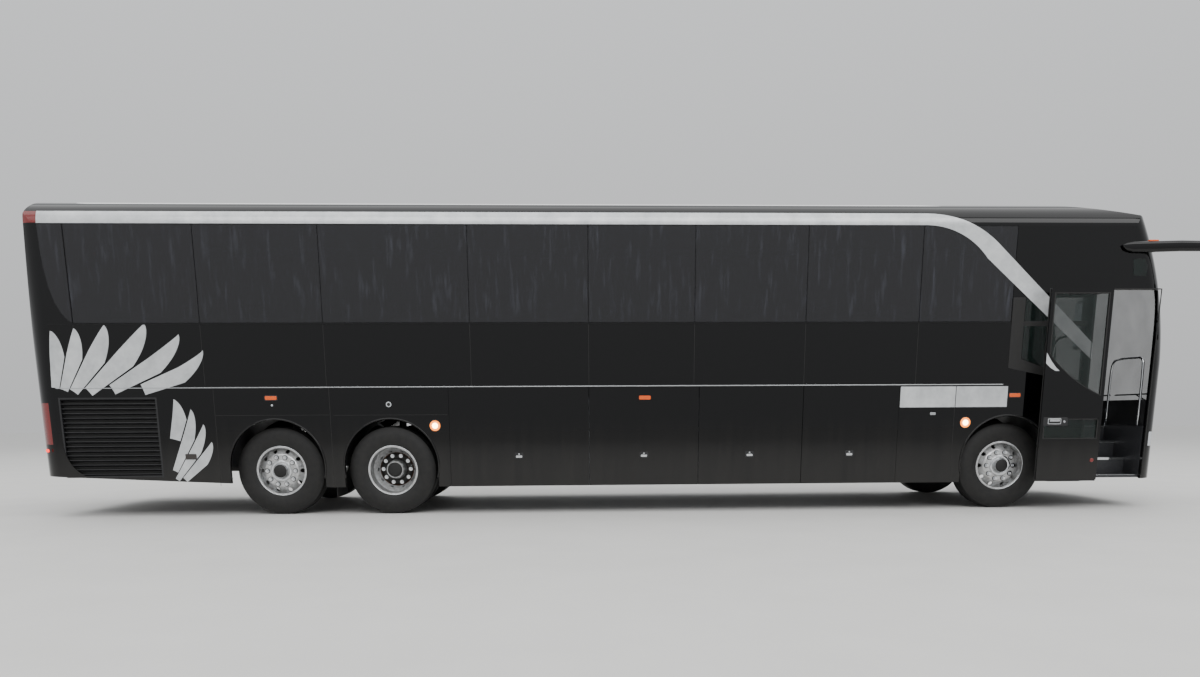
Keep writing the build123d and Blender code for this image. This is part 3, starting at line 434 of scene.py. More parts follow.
def tube(name, points, radius, material, body="coach", sides=12):
    """A round bar bent along points, as a closed mesh."""
    curve = bpy.data.curves.new(name, "CURVE")
    curve.dimensions = "3D"
    curve.bevel_depth = radius
    curve.bevel_resolution = max(1, sides // 4 - 1)
    curve.use_fill_caps = True
    spline = curve.splines.new("NURBS")
    spline.points.add(len(points) - 1)
    for point, place in zip(spline.points, points):
        point.co = (*place, 1.0)
    spline.order_u = 3
    spline.use_endpoint_u = True
    spline.resolution_u = 6
    holder = linked(name + "_line", curve)
    mesh = evaluated(holder)
    bpy.data.objects.remove(holder)
    mesh.materials.clear()
    mesh.materials.append(material)
    return added(name, mesh, body, smooth=True)


def lofted(name, path, sizes, material, count=20, power=3.0):
    """A closed body with rounded-rectangle sections (height, width) along a path."""
    verts = []
    places = [Vector(p) for p in path]
    for i, (place, (height, width)) in enumerate(zip(places, sizes)):
        along = (places[min(i + 1, len(places) - 1)] - places[max(i - 1, 0)]).normalized()
        across = along.cross(Vector((0, 0, 1)) if abs(along.z) < 0.9 else Vector((1, 0, 0))).normalized()
        upward = across.cross(along).normalized()
        for c, s in compass(count):
            u = math.copysign(abs(c) ** (2 / power), c) * width / 2
            v = math.copysign(abs(s) ** (2 / power), s) * height / 2
            verts.append(place + across * u + upward * v)
    return sharpened(piece(name, verts, skin(len(path), count), material, smooth=True), 0.9)


# outlines in (x, z)
def circle(x, z, radius, count):
    """A round outline."""
    return [(x + radius * c, z + radius * s) for c, s in compass(count)]


def box(x0, x1, z0, z1, radius=0.0):
    """A rectangle, with rounded corners if a radius is given."""
    if not radius:
        return [(x0, z0), (x1, z0), (x1, z1), (x0, z1)]
    points = []
    steps = 4
    for cx, cz, first in ((x1 - radius, z0 + radius, -90), (x1 - radius, z1 - radius, 0),
                          (x0 + radius, z1 - radius, 90), (x0 + radius, z0 + radius, 180)):
        for i in range(steps + 1):
            angle = math.radians(first + 90 * i / steps)
            points.append((cx + radius * math.cos(angle), cz + radius * math.sin(angle)))
    return points


def drawn(points):
    """Points measured along the coach from the drive axle."""
    return [(X_DRIVE + x, z) for x, z in points]


def panel(x0, x1, z0, z1, radius=0.0):
    """A rectangle measured along the coach from the drive axle."""
    return drawn(box(x0, x1, z0, z1, radius))


def around(x, z, half_length, half_height, radius):
    """A rectangle about its middle, measured along the coach from the drive axle."""
    return panel(x - half_length, x + half_length, z - half_height, z + half_height, radius)


def disc(x, z, radius, count):
    """A round outline measured along the coach from the drive axle."""
    return drawn(circle(x, z, radius, count))


def wheel_part(kind, part, name):
    """Name of a body or node of a wheel: the twins of the drive axle go by the plural."""
    return f"{kind}_{part}{'s' if kind == 'drive' else ''}_{name}"


# finishes of the CAD nodes
def finish_node(node, material):
    """Give a CAD node its finish."""
    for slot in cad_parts[node].material_slots:
        slot.material = material


NODE_FINISH = {
    BLACK: ("roof_shell", "front_header", "front_mask", "front_bumper", "side_wall_right", "side_wall_left",
            "rear_cap", "rear_bumper", "engine_door", "skirt_right", "skirt_left", "entry_door"),
    TINTED: ("side_glass",),
    CLEAR: ("windscreen", "door_glass"),
    SILVER: ("silver_trim",),
    PLASTIC: ("side_louvres", "wheel_housings", "mirror_right", "mirror_left", "dashboard", "steering_wheel"),
    SEAL: ("mud_flaps",),
    VINYL: ("passenger_floor", "entry_steps", "cab_floor"),
    LINING: ("luggage_bays",),
    CHASSIS: ("frame_rails", "drive_axle", "tag_axle", "front_axle", "knuckle_right", "knuckle_left",
              "engine_block", "door_arms"),
    MOQUETTE: ("seats",),
    WHITE: ("headlamps",),
    RED: ("tail_lamps",),
    AMBER: ("side_lamps",),
}
for material, nodes in NODE_FINISH.items():
    for node in nodes:
        finish_node(node, material)
for name, side in SIDES:
    for bay in range(1, 5):
        finish_node(f"luggage_door_{name}_{bay}", BLACK)
    for kind in ("front", "tag", "drive"):
        finish_node(wheel_part(kind, "rim", name), WHEEL)
        finish_node(wheel_part(kind, "tyre", name), TYRE)

# tyres
# Section of one tyre: distance from its middle, radius
TYRE_FLANK = [(0.121, 0.514), (0.131, 0.492), (0.140, 0.465), (0.146, 0.430), (0.1485, 0.395),
              (0.140, 0.330), (0.128, 0.300), (0.100, 0.2863)]
TYRE_INSIDE = [(0.082, 0.2863), (0.122, 0.395), (0.098, 0.490), (-0.098, 0.490), (-0.122, 0.395),
               (-0.082, 0.2863)]
TYRE_SECTION = [(-out, radius) for out, radius in reversed(TYRE_FLANK)]
for groove in (-0.084, -0.030, 0.030, 0.084):
    TYRE_SECTION += [(groove - 0.0075, 0.5245), (groove - 0.005, 0.511), (groove + 0.005, 0.511),
                     (groove + 0.0075, 0.5245)]
TYRE_SECTION += TYRE_FLANK + TYRE_INSIDE
# Wheels: kind, axle, middles of the tyres, outer faces of the disc and of the rim
WHEELS = (
    ("front", X_STEER, (1.040,), 1.168, 1.163),
    ("tag", X_TAG, (1.040,), 1.168, 1.163),
    ("drive", X_DRIVE, (0.750, 1.090), 0.950, 1.213),
)
for name, side in SIDES:
    for kind, axle, middles, _, _ in WHEELS:
        for number, middle in enumerate(middles):
            section = [(middle + out, radius) for out, radius in TYRE_SECTION]
            ring = spun(f"{kind}_tyre_ring_{name}_{number}", section, axle, side, TYRE,
                        wheel_part(kind, "wheel", name), 80)
            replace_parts(sharpened(ring, 0.7), wheel_part(kind, "tyre", name))

# side glazing
# Inner and outer face of the glass off the body's side, and its gap to each panel joint
GLASS = (-0.0075, -0.0003)
PANE_GAP = 0.004
for name, side in SIDES:
    for number, (first, last) in enumerate(zip(PANE_JOINTS[:-1], PANE_JOINTS[1:]), start=1):
        outline = panel(first + PANE_GAP, last - PANE_GAP, LEDGE + 0.002, COVE - 0.002, 0.012)
        pane = side_slab(f"side_pane_{name}_{number}", [outline], side, *GLASS, TINTED)
        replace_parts(pane, "side_glass")
    cab_lower = drawn([(7.605, 1.814), (8.365, 1.546), (8.365, 2.190), (7.605, 2.190)])
    for label, outline in (("upper", panel(7.605, 8.365, 2.245, 2.510, 0.02)), ("lower", cab_lower)):
        pane = side_slab(f"cab_pane_{label}_{name}", [outline], side, *GLASS, CLEAR)
        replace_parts(pane, "side_glass")
    side_slab(f"cab_window_bar_{name}", [panel(7.60, 8.37, 2.188, 2.247, 0.004)], side, -0.014, 0.002, SEAL)
    # Matt black pillar behind the cab window, widening to a wedge below it
    pillar = drawn([(7.446, 2.52), (7.446, 1.70), (8.366, 1.512), (8.366, 1.540), (7.598, 1.806),
                    (7.598, 2.52)])
    side_slab(f"cab_pillar_cover_{name}", [pillar], side, 0.0002, 0.0020, SEAL)
    # Rear quarter pane with its one curved corner
    quarter = drawn([(-3.836, 3.05), (-3.822, 2.85), (-3.79, 2.65), (-3.74, 2.47), (-3.67, 2.34),
                     (-3.60, 2.262), (-3.566, 2.243), (-3.566, 3.322), (-3.84, 3.322)])
    side_slab(f"rear_quarter_pane_{name}", [quarter], side, 0.0002, 0.0024, TINTED)
    # Small quarter pane high on the entry side and its twin
    small = drawn([(8.86, 2.955), (8.995, 2.965), (9.045, 2.86), (9.030, 2.765), (8.875, 2.765)])
    side_slab(f"header_quarter_pane_{name}", [small], side, 0.0002, 0.0022, CLEAR)

# side panel seams, mouldings and wheel arch lips
SEAM_WIDTH = 0.0045


def moulding(name, side, x0, x1, z0, z1, proud, material, edge, sunk=0.0):
    """A strip along the coach, measured from the drive axle, that stands off its side."""
    blocks(name, [((X_DRIVE + x0, side * (HALF_WIDTH - sunk), z0),
                   (X_DRIVE + x1, side * (HALF_WIDTH + proud), z1))], material, edge=edge)


for name, side in SIDES:
    strips = [around(joint, 1.867, SEAM_WIDTH / 2, 0.355, 0) for joint in PANE_JOINTS[:-1]]
    strips += [around(seam, 0.924, SEAM_WIDTH / 2, 0.564, 0) for seam in (-2.037, -0.693, 6.824)]
    strips += [panel(-0.66, 0.69, 1.181, 1.185), panel(-2.03, -0.70, 1.185, 1.189)]
    side_slab(f"panel_seams_{name}", strips, side, 0.0001, 0.0006, SEAL, edge=0)
    # Drip moulding under the panes, bright strip over the luggage doors, gutter along the cove
    moulding(f"ledge_moulding_{name}", side, -3.84, 7.44, 2.222, 2.236, 0.008, BLACK, 0.003)
    moulding(f"belt_strip_{name}", side, -3.84, 7.40, 1.503, 1.512, 0.0045, CHROME, 0.0015)
    moulding(f"roof_gutter_{name}", side, -3.70, 6.30, 3.322, 3.330, 0.006, SEAL, 0.002, sunk=0.004)


def arch_lip(name, axle, side):
    """A rolled lip round a wheel arch, open at the bottom."""
    verts = []
    steps, sides = 56, 8
    for i in range(steps + 1):
        angle = math.radians(-14 + 208 * i / steps)
        for c, s in compass(sides):
            radius = 0.566 + 0.011 * c
            verts.append((axle + radius * math.cos(angle), side * (HALF_WIDTH + 0.001 + 0.008 * s),
                          0.575 + radius * math.sin(angle)))
    piece(name, verts, skin(steps + 1, sides), BLACK, smooth=True)


for name, side in SIDES:
    for kind, axle, *_ in WHEELS:
        arch_lip(f"{kind}_arch_lip_{name}", axle, side)


# silver artwork of the rear quarter: a fan of broad leaves with thin black gaps
def leaf(pivot, angle, spread, inner, outer):
    """Outline of a leaf that opens from a pivot in (x, z) and ends in a point."""
    count = 10
    polar = [(inner, angle - spread / 2 + spread * i / count) for i in range(count + 1)]
    for i in range(2 * count + 1):
        share = 1 - i / count
        reach = outer - (outer - inner) * 0.42 * abs(share) ** 1.6
        polar.append((reach, angle + spread / 2 * share + 5 * (1 - abs(share))))
    return drawn([(pivot[0] + reach * math.cos(math.radians(turn)),
                   pivot[1] + reach * math.sin(math.radians(turn))) for reach, turn in polar])


# Pivots of the two fans from the drive axle, and the angle, spread, inner and outer radius of each leaf
UPPER_FAN = (-3.91, 1.10)
LOWER_FAN = (-2.74, 0.16)
LEAVES = (
    (UPPER_FAN, 80.5, 12, 0.42, 1.06),
    (UPPER_FAN, 67, 12.5, 0.42, 1.14),
    (UPPER_FAN, 53, 13, 0.46, 1.32),
    (UPPER_FAN, 39.5, 11.5, 0.58, 1.62),
    (UPPER_FAN, 28.5, 8.5, 0.82, 1.84),
    (UPPER_FAN, 20, 6.5, 1.14, 1.98),
    (LOWER_FAN, 74, 9, 0.78, 1.24),
    (LOWER_FAN, 64, 9, 0.42, 1.18),
    (LOWER_FAN, 54, 9, 0.34, 1.08),
    (LOWER_FAN, 43.5, 9.5, 0.40, 0.96),
)
# Lower rear corner of the side grille
GRILLE_X = X_REAR + 0.309
GRILLE_Z = 0.468
for name, side in SIDES:
    side_slab(f"leaf_artwork_{name}", [leaf(*values) for values in LEAVES], side, 0.0002, 0.0016, SILVER,
              edge=0)
    # Filter core behind the side grille
    blocks(f"louvre_core_{name}", [((X_REAR + 0.315, side * 1.238, 0.472),
                                    (X_REAR + 1.441, side * 1.2425, 1.398))], SEAL, edge=0)
    # Body-coloured corner that rounds the grille at its lower rear
    corner = [(GRILLE_X, GRILLE_Z)]
    for i in range(16):
        turn = math.radians(6 * i)
        corner.append((GRILLE_X + 0.33 * (1 - math.cos(turn)), GRILLE_Z + 0.42 * (1 - math.sin(turn))))
    side_slab(f"grille_corner_{name}", [corner], side, 0.0002, 0.0030, BLACK, edge=0)

# fittings of the sides
LATCHES = (1.530, 3.038, 4.327, 5.553)
for name, side in SIDES:
    for bay, x in enumerate(LATCHES, start=1):
        body = f"luggage_flap_{name}_{bay}"
        side_slab(f"latch_plate_{name}_{bay}", [around(x, 0.690, 0.055, 0.038, 0.02)], side, 0.0, 0.004,
                  PLASTIC, body)
        side_slab(f"latch_pull_{name}_{bay}", [around(x, 0.681, 0.038, 0.013, 0.010)], side, 0.003, 0.010,
                  CHROME, body)
        side_slab(f"latch_lock_{name}_{bay}", [disc(x, 0.710, 0.009, 20)], side, 0.003, 0.007, CHROME, body)
    # Marker on the second luggage door
    side_slab(f"bay_marker_lens_{name}", [panel(2.976, 3.116, 1.348, 1.394, 0.012)], side, 0.0095, 0.016,
              AMBER, f"luggage_flap_{name}_2")
    lamps = []
    for number, (x, z) in zip((0, 2), ((-1.372, 1.386), (7.555, 1.379))):
        lamps.append(("marker_base", [around(x, z, 0.08, 0.031, 0.015)], 0.0, 0.006, PLASTIC, 0.0015,
                      f"_{number}"))
        lamps.append(("marker_lens", [around(x, z, 0.068, 0.022, 0.012)], 0.004, 0.0125, AMBER, 0.003,
                      f"_{number}"))
    for number, (x, z) in zip((4, 7), ((0.538, 1.054), (6.966, 1.055))):
        for label, radius, count, near, far, material in (("ring", 0.072, 40, 0.0, 0.007, PLASTIC),
                                                          ("lens", 0.061, 36, 0.005, 0.011, WARM),
                                                          ("core", 0.034, 28, 0.010, 0.014, CORE)):
            lamps.append((f"round_lamp_{label}", [disc(x, z, radius, count)], near, far, material, 0.002,
                          f"_{number}"))
    lamps.append(("side_reflector", [panel(-2.423, -2.293, 0.675, 0.741, 0.01)], 0.0, 0.008, SMOKED, 0.002,
                  ""))
    for label, outlines, near, far, material, edge, ending in lamps:
        made = side_slab(f"{label}_{name}{ending}", outlines, side, near, far, material, edge=edge)
        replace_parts(made, "side_lamps")
    # Filler with its white ring, small lamp below the rear marker, service door handle
    for label, outline, near, far, material, edge in (
            ("filler_ring", disc(0, 1.306, 0.032, 32), 0.0002, 0.003, WHITE, 0.001),
            ("filler_core", disc(0, 1.306, 0.020, 28), 0.0025, 0.006, SEAL, 0.001),
            ("button_lamp", disc(-1.366, 1.302, 0.012, 20), 0.0002, 0.005, WHITE, 0.001),
            ("service_handle", panel(6.522, 6.592, 1.148, 1.178, 0.010), 0.0002, 0.010, CHROME, 0.0015)):
        side_slab(f"{label}_{name}", [outline], side, near, far, material, edge=edge)


# wheel ends
def repeated(name, build, inputs, material):
    """Run a geometry tree with named inputs and return its result as a plain mesh."""
    tree = bpy.data.node_groups.new(name, "GeometryNodeTree")
    values = {}
    for label, kind, value in inputs:
        socket = tree.interface.new_socket(label, in_out="INPUT", socket_type=kind)
        values[socket.identifier] = value
    tree.interface.new_socket("Geometry", in_out="OUTPUT", socket_type="NodeSocketGeometry")
    result = build(tree, tree.nodes.new("NodeGroupInput").outputs)
    solid = put(tree, "GeometryNodeRealizeInstances", links={0: result})
    painted = put(tree, "GeometryNodeSetMaterial", {"Material": material}, {"Geometry": solid})
    put(tree, "NodeGroupOutput", links={0: painted})
    carrier = linked(name, bpy.data.meshes.new(name + "_seed"))
    modifier = carrier.modifiers.new("repeat", "NODES")
    modifier.node_group = tree
    for identifier, value in values.items():
        modifier[identifier] = value
    mesh = evaluated(carrier)
    carrier.modifiers.clear()
    bpy.data.objects.remove(carrier)
    mesh.name = name
    return mesh


def nut_tree(tree, given):
    """Hexagon nuts with round washers and stud ends on a circle about the local z axis."""
    ring = put(tree, "GeometryNodeMeshCircle", links={"Vertices": given["Count"], "Radius": given["Circle"]})
    turn = put(tree, "ShaderNodeCombineXYZ", links={"Z": given["Turn"]})
    places = put(tree, "GeometryNodeTransform", links={"Geometry": ring, "Rotation": turn})
    nut = tree.nodes.new("GeometryNodeJoinGeometry")
    for sides, radius, depth, height in ((24, 0.0235, 0.006, 0.0), (6, 0.0195, 0.024, 0.0145),
                                         (16, 0.0105, 0.034, 0.020)):
        part = put(tree, "GeometryNodeMeshCylinder", {"Vertices": sides, "Radius": radius, "Depth": depth})
        raised = put(tree, "GeometryNodeTransform", {"Translation": (0, 0, height)}, {"Geometry": part})
        tree.links.new(raised.outputs[0], nut.inputs[0])
    return put(tree, "GeometryNodeInstanceOnPoints", links={"Points": places, "Instance": nut})


# Turned parts of the wheel ends: name, profile of (out, radius), material, segments
PLAIN_END = (
    ("hub_cap", [(1.221, 0.0), (1.232, 0.0), (1.230, 0.050), (1.222, 0.068), (1.2195, 0.074),
                 (1.2195, 0.076)], SEAL, 48),
    ("hub_band", [(1.177, 0.0795), (1.177, 0.126), (1.181, 0.128), (1.186, 0.122), (1.186, 0.0795)],
     CHROME, 64),
)
# Black cap on a dark dusty plate, which paints the shade in the deep dish of the drive wheel, with a rusty
# ring round it
DRIVE_END = (
    ("hub_cap", [(1.094, 0.0), (1.106, 0.0), (1.112, 0.060), (1.104, 0.088), (1.094, 0.092)], SEAL, 48),
    ("hub_plate", [(0.9502, 0.095), (0.9502, 0.196), (0.9522, 0.196), (0.9522, 0.095)], CHASSIS, 64),
    ("rust_ring", [(0.9502, 0.196), (0.9502, 0.208), (0.9560, 0.206), (0.9560, 0.197)], RUST, 64),
)
# Bright rim edge and bent tyre valve, out from the rim's face
RIM_EDGE = [(-0.004, 0.290), (0.0005, 0.290), (0.003, 0.294), (0.003, 0.2985), (-0.004, 0.3005)]
VALVE = ((0.225, -0.06, 0.06), (0.225, -0.03, 0.06), (0.215, -0.01, 0.058))
for name, side in SIDES:
    for kind, axle, _, face, rim in WHEELS:
        body = wheel_part(kind, "wheel", name)
        nuts = repeated(f"{kind}_nuts_{name}", nut_tree,
                        (("Count", "NodeSocketInt", STUD_COUNT), ("Circle", "NodeSocketFloat", STUD_CIRCLE),
                         ("Turn", "NodeSocketFloat", math.radians(STUD_TURN[side]))), CHROME)
        for vertex in nuts.vertices:
            x, y, z = vertex.co
            vertex.co = (axle + x, side * (face + 0.0055 + z), HUB_HEIGHT + y)
        added(f"{kind}_wheel_nuts_{name}", nuts, body)
        # Dark ring round each nut: painted shadow where the nut sits on the wheel
        for number in range(STUD_COUNT):
            angle = math.radians(360 / STUD_COUNT * number + STUD_TURN[side])
            seat = circle(axle + STUD_CIRCLE * math.cos(angle), HUB_HEIGHT + STUD_CIRCLE * math.sin(angle),
                          0.031, 20)
            side_slab(f"{kind}_nut_seat_{name}_{number}", [seat], side, 0.0002, 0.0030, SEAL, body, face,
                      edge=0)
        for label, profile, material, segments in DRIVE_END if kind == "drive" else PLAIN_END:
            spun(f"{kind}_{label}_{name}", profile, axle, side, material, body, segments)
        spun(f"{kind}_rim_edge_{name}", [(rim + out, radius) for out, radius in RIM_EDGE], axle, side,
             CHROME, body, 96)
        tube(f"{kind}_valve_{name}", [(axle + x, side * (rim + out), HUB_HEIGHT + z) for x, out, z in VALVE],
             0.005, CHROME, body, 8)

# mirrors
# Middle of the mirror's head, and the sections of arm and head
HEAD_X = X_FRONT + MIRROR_REACH - 0.085
HEAD_Y = 1.430
ARM_SIZES = [(0.012, 0.012), (0.080, 0.034), (0.118, 0.056), (0.126, 0.074), (0.124, 0.078), (0.118, 0.078),
             (0.112, 0.078), (0.104, 0.078), (0.098, 0.078), (0.098, 0.078)]
HEAD_HEIGHTS = (2.101, 2.108, 2.130, 2.20, 2.45, 2.70, 2.80, 2.832, 2.846)
HEAD_SHRINK = (0.62, 0.82, 0.96, 1.0, 1.0, 0.99, 0.95, 0.84, 0.64)
for name, side in SIDES:
    arm_path = [(X_DRIVE + x, side * y, z) for x, y, z in (
        (8.70, 1.318, 3.105), (8.74, 1.322, 3.093), (8.82, 1.330, 3.086), (9.05, 1.345, 3.086),
        (9.35, 1.385, 3.088))]
    arm_path += [(HEAD_X - x, side * y, z) for x, y, z in (
        (0.26, 1.420, 3.080), (0.12, 1.428, 3.055), (0.035, HEAD_Y, 2.990), (0.005, HEAD_Y, 2.915),
        (0, HEAD_Y, 2.82))]
    arm = lofted(f"mirror_arm_{name}", arm_path, ARM_SIZES, BLACK)
    head = lofted(f"mirror_head_{name}", [(HEAD_X, side * HEAD_Y, z) for z in HEAD_HEIGHTS],
                  [(0.166 * s, 0.256 * s) for s in HEAD_SHRINK], BLACK, count=32, power=3.4)
    plates = []
    for low, high, label in ((2.345, 2.775, "main"), (2.155, 2.315, "wide")):
        for kind, back, front, half, rim, material, edge in (
                ("frame", 0.0845, 0.074, 0.098, 0.01, SEAL, 0.004),
                ("glass", 0.0862, 0.080, 0.088, 0.0, MIRROR, 0.0015)):
            plates.append(blocks(f"mirror_{label}_{kind}_{name}",
                                 [((HEAD_X - back, side * HEAD_Y - half, low - rim),
                                   (HEAD_X - front, side * HEAD_Y + half, high + rim))], material, edge=edge))
    marker = blocks(f"mirror_marker_{name}", [((X_DRIVE + 8.99, side * 1.345 - 0.020, 3.146),
                                               (X_DRIVE + 9.10, side * 1.345 + 0.020, 3.163))],
                    AMBER, edge=0.005)
    for made in (arm, head, marker, *plates):
        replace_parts(made, f"mirror_{name}")

# entry door leaf
LEAF_LOW = X_JAMB + 0.018 - DOOR_SHIFT
LEAF_HIGH = X_PILLAR - 0.008 - DOOR_SHIFT


def arc(first, through, last, count=14):
    """Points of the circle arc through three points in (x, z)."""
    (ax, az), (bx, bz), (cx, cz) = first, through, last
    d = 2 * (ax * (bz - cz) + bx * (cz - az) + cx * (az - bz))
    a, b, c = ax * ax + az * az, bx * bx + bz * bz, cx * cx + cz * cz
    ux = (a * (bz - cz) + b * (cz - az) + c * (az - bz)) / d
    uz = (a * (cx - bx) + b * (ax - cx) + c * (bx - ax)) / d
    r = math.hypot(ax - ux, az - uz)
    turn = math.atan2(az - uz, ax - ux)
    sweep = math.atan2(cz - uz, cx - ux) - turn
    if sweep > math.pi:
        sweep -= 2 * math.pi
    if sweep < -math.pi:
        sweep += 2 * math.pi
    angles = [turn + sweep * i / count for i in range(count + 1)]
    return [(ux + r * math.cos(angle), uz + r * math.sin(angle)) for angle in angles]


GLASS_LOW, GLASS_HIGH, GLASS_TOP = LEAF_LOW + 0.038, LEAF_HIGH - 0.038, 2.549
HANDLE_X = LEAF_LOW + 0.085
lower_edge = arc((GLASS_HIGH, 1.362), ((GLASS_LOW + GLASS_HIGH) / 2, 1.545), (GLASS_LOW, 1.850))
# Seals round the two panes: thin bars and a swept strip
upper_bars = [box(GLASS_LOW, GLASS_LOW + 0.014, 1.86, GLASS_TOP),
              box(GLASS_HIGH - 0.014, GLASS_HIGH, 1.37, GLASS_TOP - 0.001),
              box(GLASS_LOW + 0.015, GLASS_HIGH - 0.015, GLASS_TOP - 0.014, GLASS_TOP - 0.001)]
lower_bars = [box(GLASS_LOW, GLASS_HIGH, 0.855, 0.867), box(GLASS_LOW, GLASS_LOW + 0.012, 0.868, 1.004),
              box(GLASS_HIGH - 0.012, GLASS_HIGH, 0.868, 1.083),
              box(GLASS_LOW + 0.282, GLASS_HIGH - 0.013, 1.084, 1.095)]
swept = lower_edge + [(x - 0.004, z + 0.013) for x, z in reversed(lower_edge)]
# Bright tip of the stripe on the door's skin
stripe_tip = [(LEAF_LOW + x, z) for x, z in (
    (0.004, 1.866), (0.066, 1.770), (0.130, 1.692), (0.176, 1.654), (0.128, 1.654), (0.062, 1.690),
    (0.004, 1.744))]
# Flat parts on the leaf's outer skin, each with its near and far face, material and rounded edge
for label, outlines, near, far, material, edge in (
        ("seal_bars", upper_bars, -0.010, 0.001, SEAL, 0),
        ("seal_sweep", [swept], -0.010, 0.0008, SEAL, 0),
        ("lower_seal", lower_bars, -0.010, 0.0008, SEAL, 0),
        ("stripe_tip", [stripe_tip], 0.0002, 0.0016, SILVER, 0),
        ("handle_plate", [box(LEAF_LOW + 0.03, LEAF_LOW + 0.33, 1.010, 1.112, 0.014)], 0.0, 0.003,
         PLASTIC, 0.0015),
        ("handle_bezel", [box(HANDLE_X, HANDLE_X + 0.165, 1.030, 1.100, 0.012)], 0.0025, 0.007,
         CHROME, 0.0015),
        ("handle_recess", [box(HANDLE_X + 0.010, HANDLE_X + 0.155, 1.040, 1.090, 0.009)], 0.004, 0.0078,
         SEAL, 0.0015),
        ("handle_pull", [box(HANDLE_X + 0.020, HANDLE_X + 0.145, 1.062, 1.084, 0.008)], 0.006, 0.017,
         CHROME, 0.003),
        ("lock_button", [circle(LEAF_LOW + 0.288, 1.060, 0.014, 24)], 0.0025, 0.009, CHROME, 0.0015),
        ("reflector", [circle(LEAF_HIGH - 0.075, 0.600, 0.024, 32)], 0.0, 0.006, RED, 0.002)):
    side_slab(f"door_{label}", outlines, -1, near, far, material, "door_leaf", LEAF_FACE, edge)
blocks("door_foot_seal", [((LEAF_LOW + 0.004, -LEAF_FACE + 0.010, 0.350),
                           (LEAF_HIGH - 0.004, -LEAF_FACE + 0.018, 0.366))], SEAL, "door_leaf")
blocks("door_edge_seals", [((x0, -LEAF_FACE + 0.016, 0.372), (x1, -LEAF_FACE + 0.030, 2.590))
                           for x0, x1 in ((LEAF_LOW - 0.008, LEAF_LOW + 0.001),
                                          (LEAF_HIGH - 0.001, LEAF_HIGH + 0.006))], SEAL, "door_leaf")

# doorway: seals, sill, rails and step lights
STEP_LOW = X_JAMB + 0.012
STEP_HIGH = X_PILLAR - 0.012
side_slab("doorway_seals", [box(X_JAMB - 0.020, X_JAMB - 0.006, 0.40, 2.62),
                            box(X_PILLAR + 0.006, X_PILLAR + 0.020, 0.40, 2.62),
                            box(X_JAMB - 0.005, X_PILLAR + 0.005, 2.608, 2.622)],
          -1, 0.0001, 0.003, SEAL)
blocks("doorway_sill", [((STEP_LOW, -1.2435, 0.4004), (STEP_HIGH, -1.205, 0.404))], CHROME, edge=0.001)
nosings = []
for step in range(1, 5):
    y = -1.1955 + step * 0.24
    z = 0.400 + step * 0.200
    nosings.append(((STEP_LOW, y - 0.004, z - 0.028), (STEP_HIGH, y - 0.0002, z + 0.003)))
    nosings.append(((STEP_LOW, y, z + 0.0003), (STEP_HIGH, y + 0.035, z + 0.003)))
blocks("step_nosings", nosings, CHROME, edge=0.001)
blocks("step_lights", [((X_DRIVE + 8.80, -0.9562, 0.530), (X_DRIVE + 8.87, -0.9500, 0.552))], WARM)
# Grab rails, each a line of (y, z) at one place along the coach
for label, x, line in (
        ("front", X_PILLAR + 0.002, ((-1.13, 1.0003), (-1.13, 1.72), (-1.10, 1.83), (-0.95, 1.84),
                                     (-0.60, 1.84), (-0.50, 1.80), (-0.48, 1.60), (-0.48, 1.0003))),
        ("rear", X_JAMB - 0.016, ((-1.13, 1.4003), (-1.13, 2.00), (-1.05, 2.12), (-0.60, 2.12),
                                  (-0.48, 2.04), (-0.46, 1.80), (-0.46, 1.4003)))):
    tube(f"entry_rail_{label}", [(x, y, z) for y, z in line], 0.016, CHROME)

# dashboard fittings
blocks("dash_hood", [((X_FRONT - 0.60, 0.47, 1.478), (X_FRONT - 0.30, 0.93, 1.500))], PLASTIC, edge=0.006)
DIAL_RADIUS = 0.045
for number, dial_y in enumerate((0.56, 0.70, 0.84)):
    # Discs that lean back with the panel
    verts = [(X_FRONT - 0.665 + DIAL_RADIUS * s * 0.62 - 0.8 * reach, dial_y + DIAL_RADIUS * c,
              1.413 + DIAL_RADIUS * s * 0.78 + 0.62 * reach)
             for reach in (0.0, 0.006) for c, s in compass(28)]
    piece(f"dash_dial_{number}", verts, skin(2, 28), WHITE)


# tail: engine door louvres, handle, blank plate, lamp bars
def slat_tree(tree, given):
    """A stack of tipped slats along z."""
    offset = put(tree, "ShaderNodeCombineXYZ", links={"Z": given["Pitch"]})
    line = put(tree, "GeometryNodeMeshLine", links={"Count": given["Count"], "Offset": offset})
    size = put(tree, "ShaderNodeCombineXYZ", {"X": 0.014, "Z": 0.022}, {"Y": given["Width"]})
    slat = put(tree, "GeometryNodeMeshCube", {"Vertices X": 2, "Vertices Y": 2, "Vertices Z": 2},
               {"Size": size})
    leant = put(tree, "GeometryNodeTransform", {"Rotation": (0, 0.5, 0)}, {"Geometry": slat})
    return put(tree, "GeometryNodeInstanceOnPoints", links={"Points": line, "Instance": leant})


def placed(name, mesh, place, body="coach", smooth=False):
    """Set a plain mesh in its place as a piece."""
    for vertex in mesh.vertices:
        vertex.co = vertex.co + Vector(place)
    return added(name, mesh, body, smooth)


slats = repeated("engine_louvre_slats", slat_tree,
                 (("Count", "NodeSocketInt", 10), ("Pitch", "NodeSocketFloat", 0.042),
                  ("Width", "NodeSocketFloat", 1.30)), PLASTIC)
bevelled(placed("engine_door_louvres", slats, (X_REAR - 0.004, 0, 0.79), "engine_lid"), 0.003)
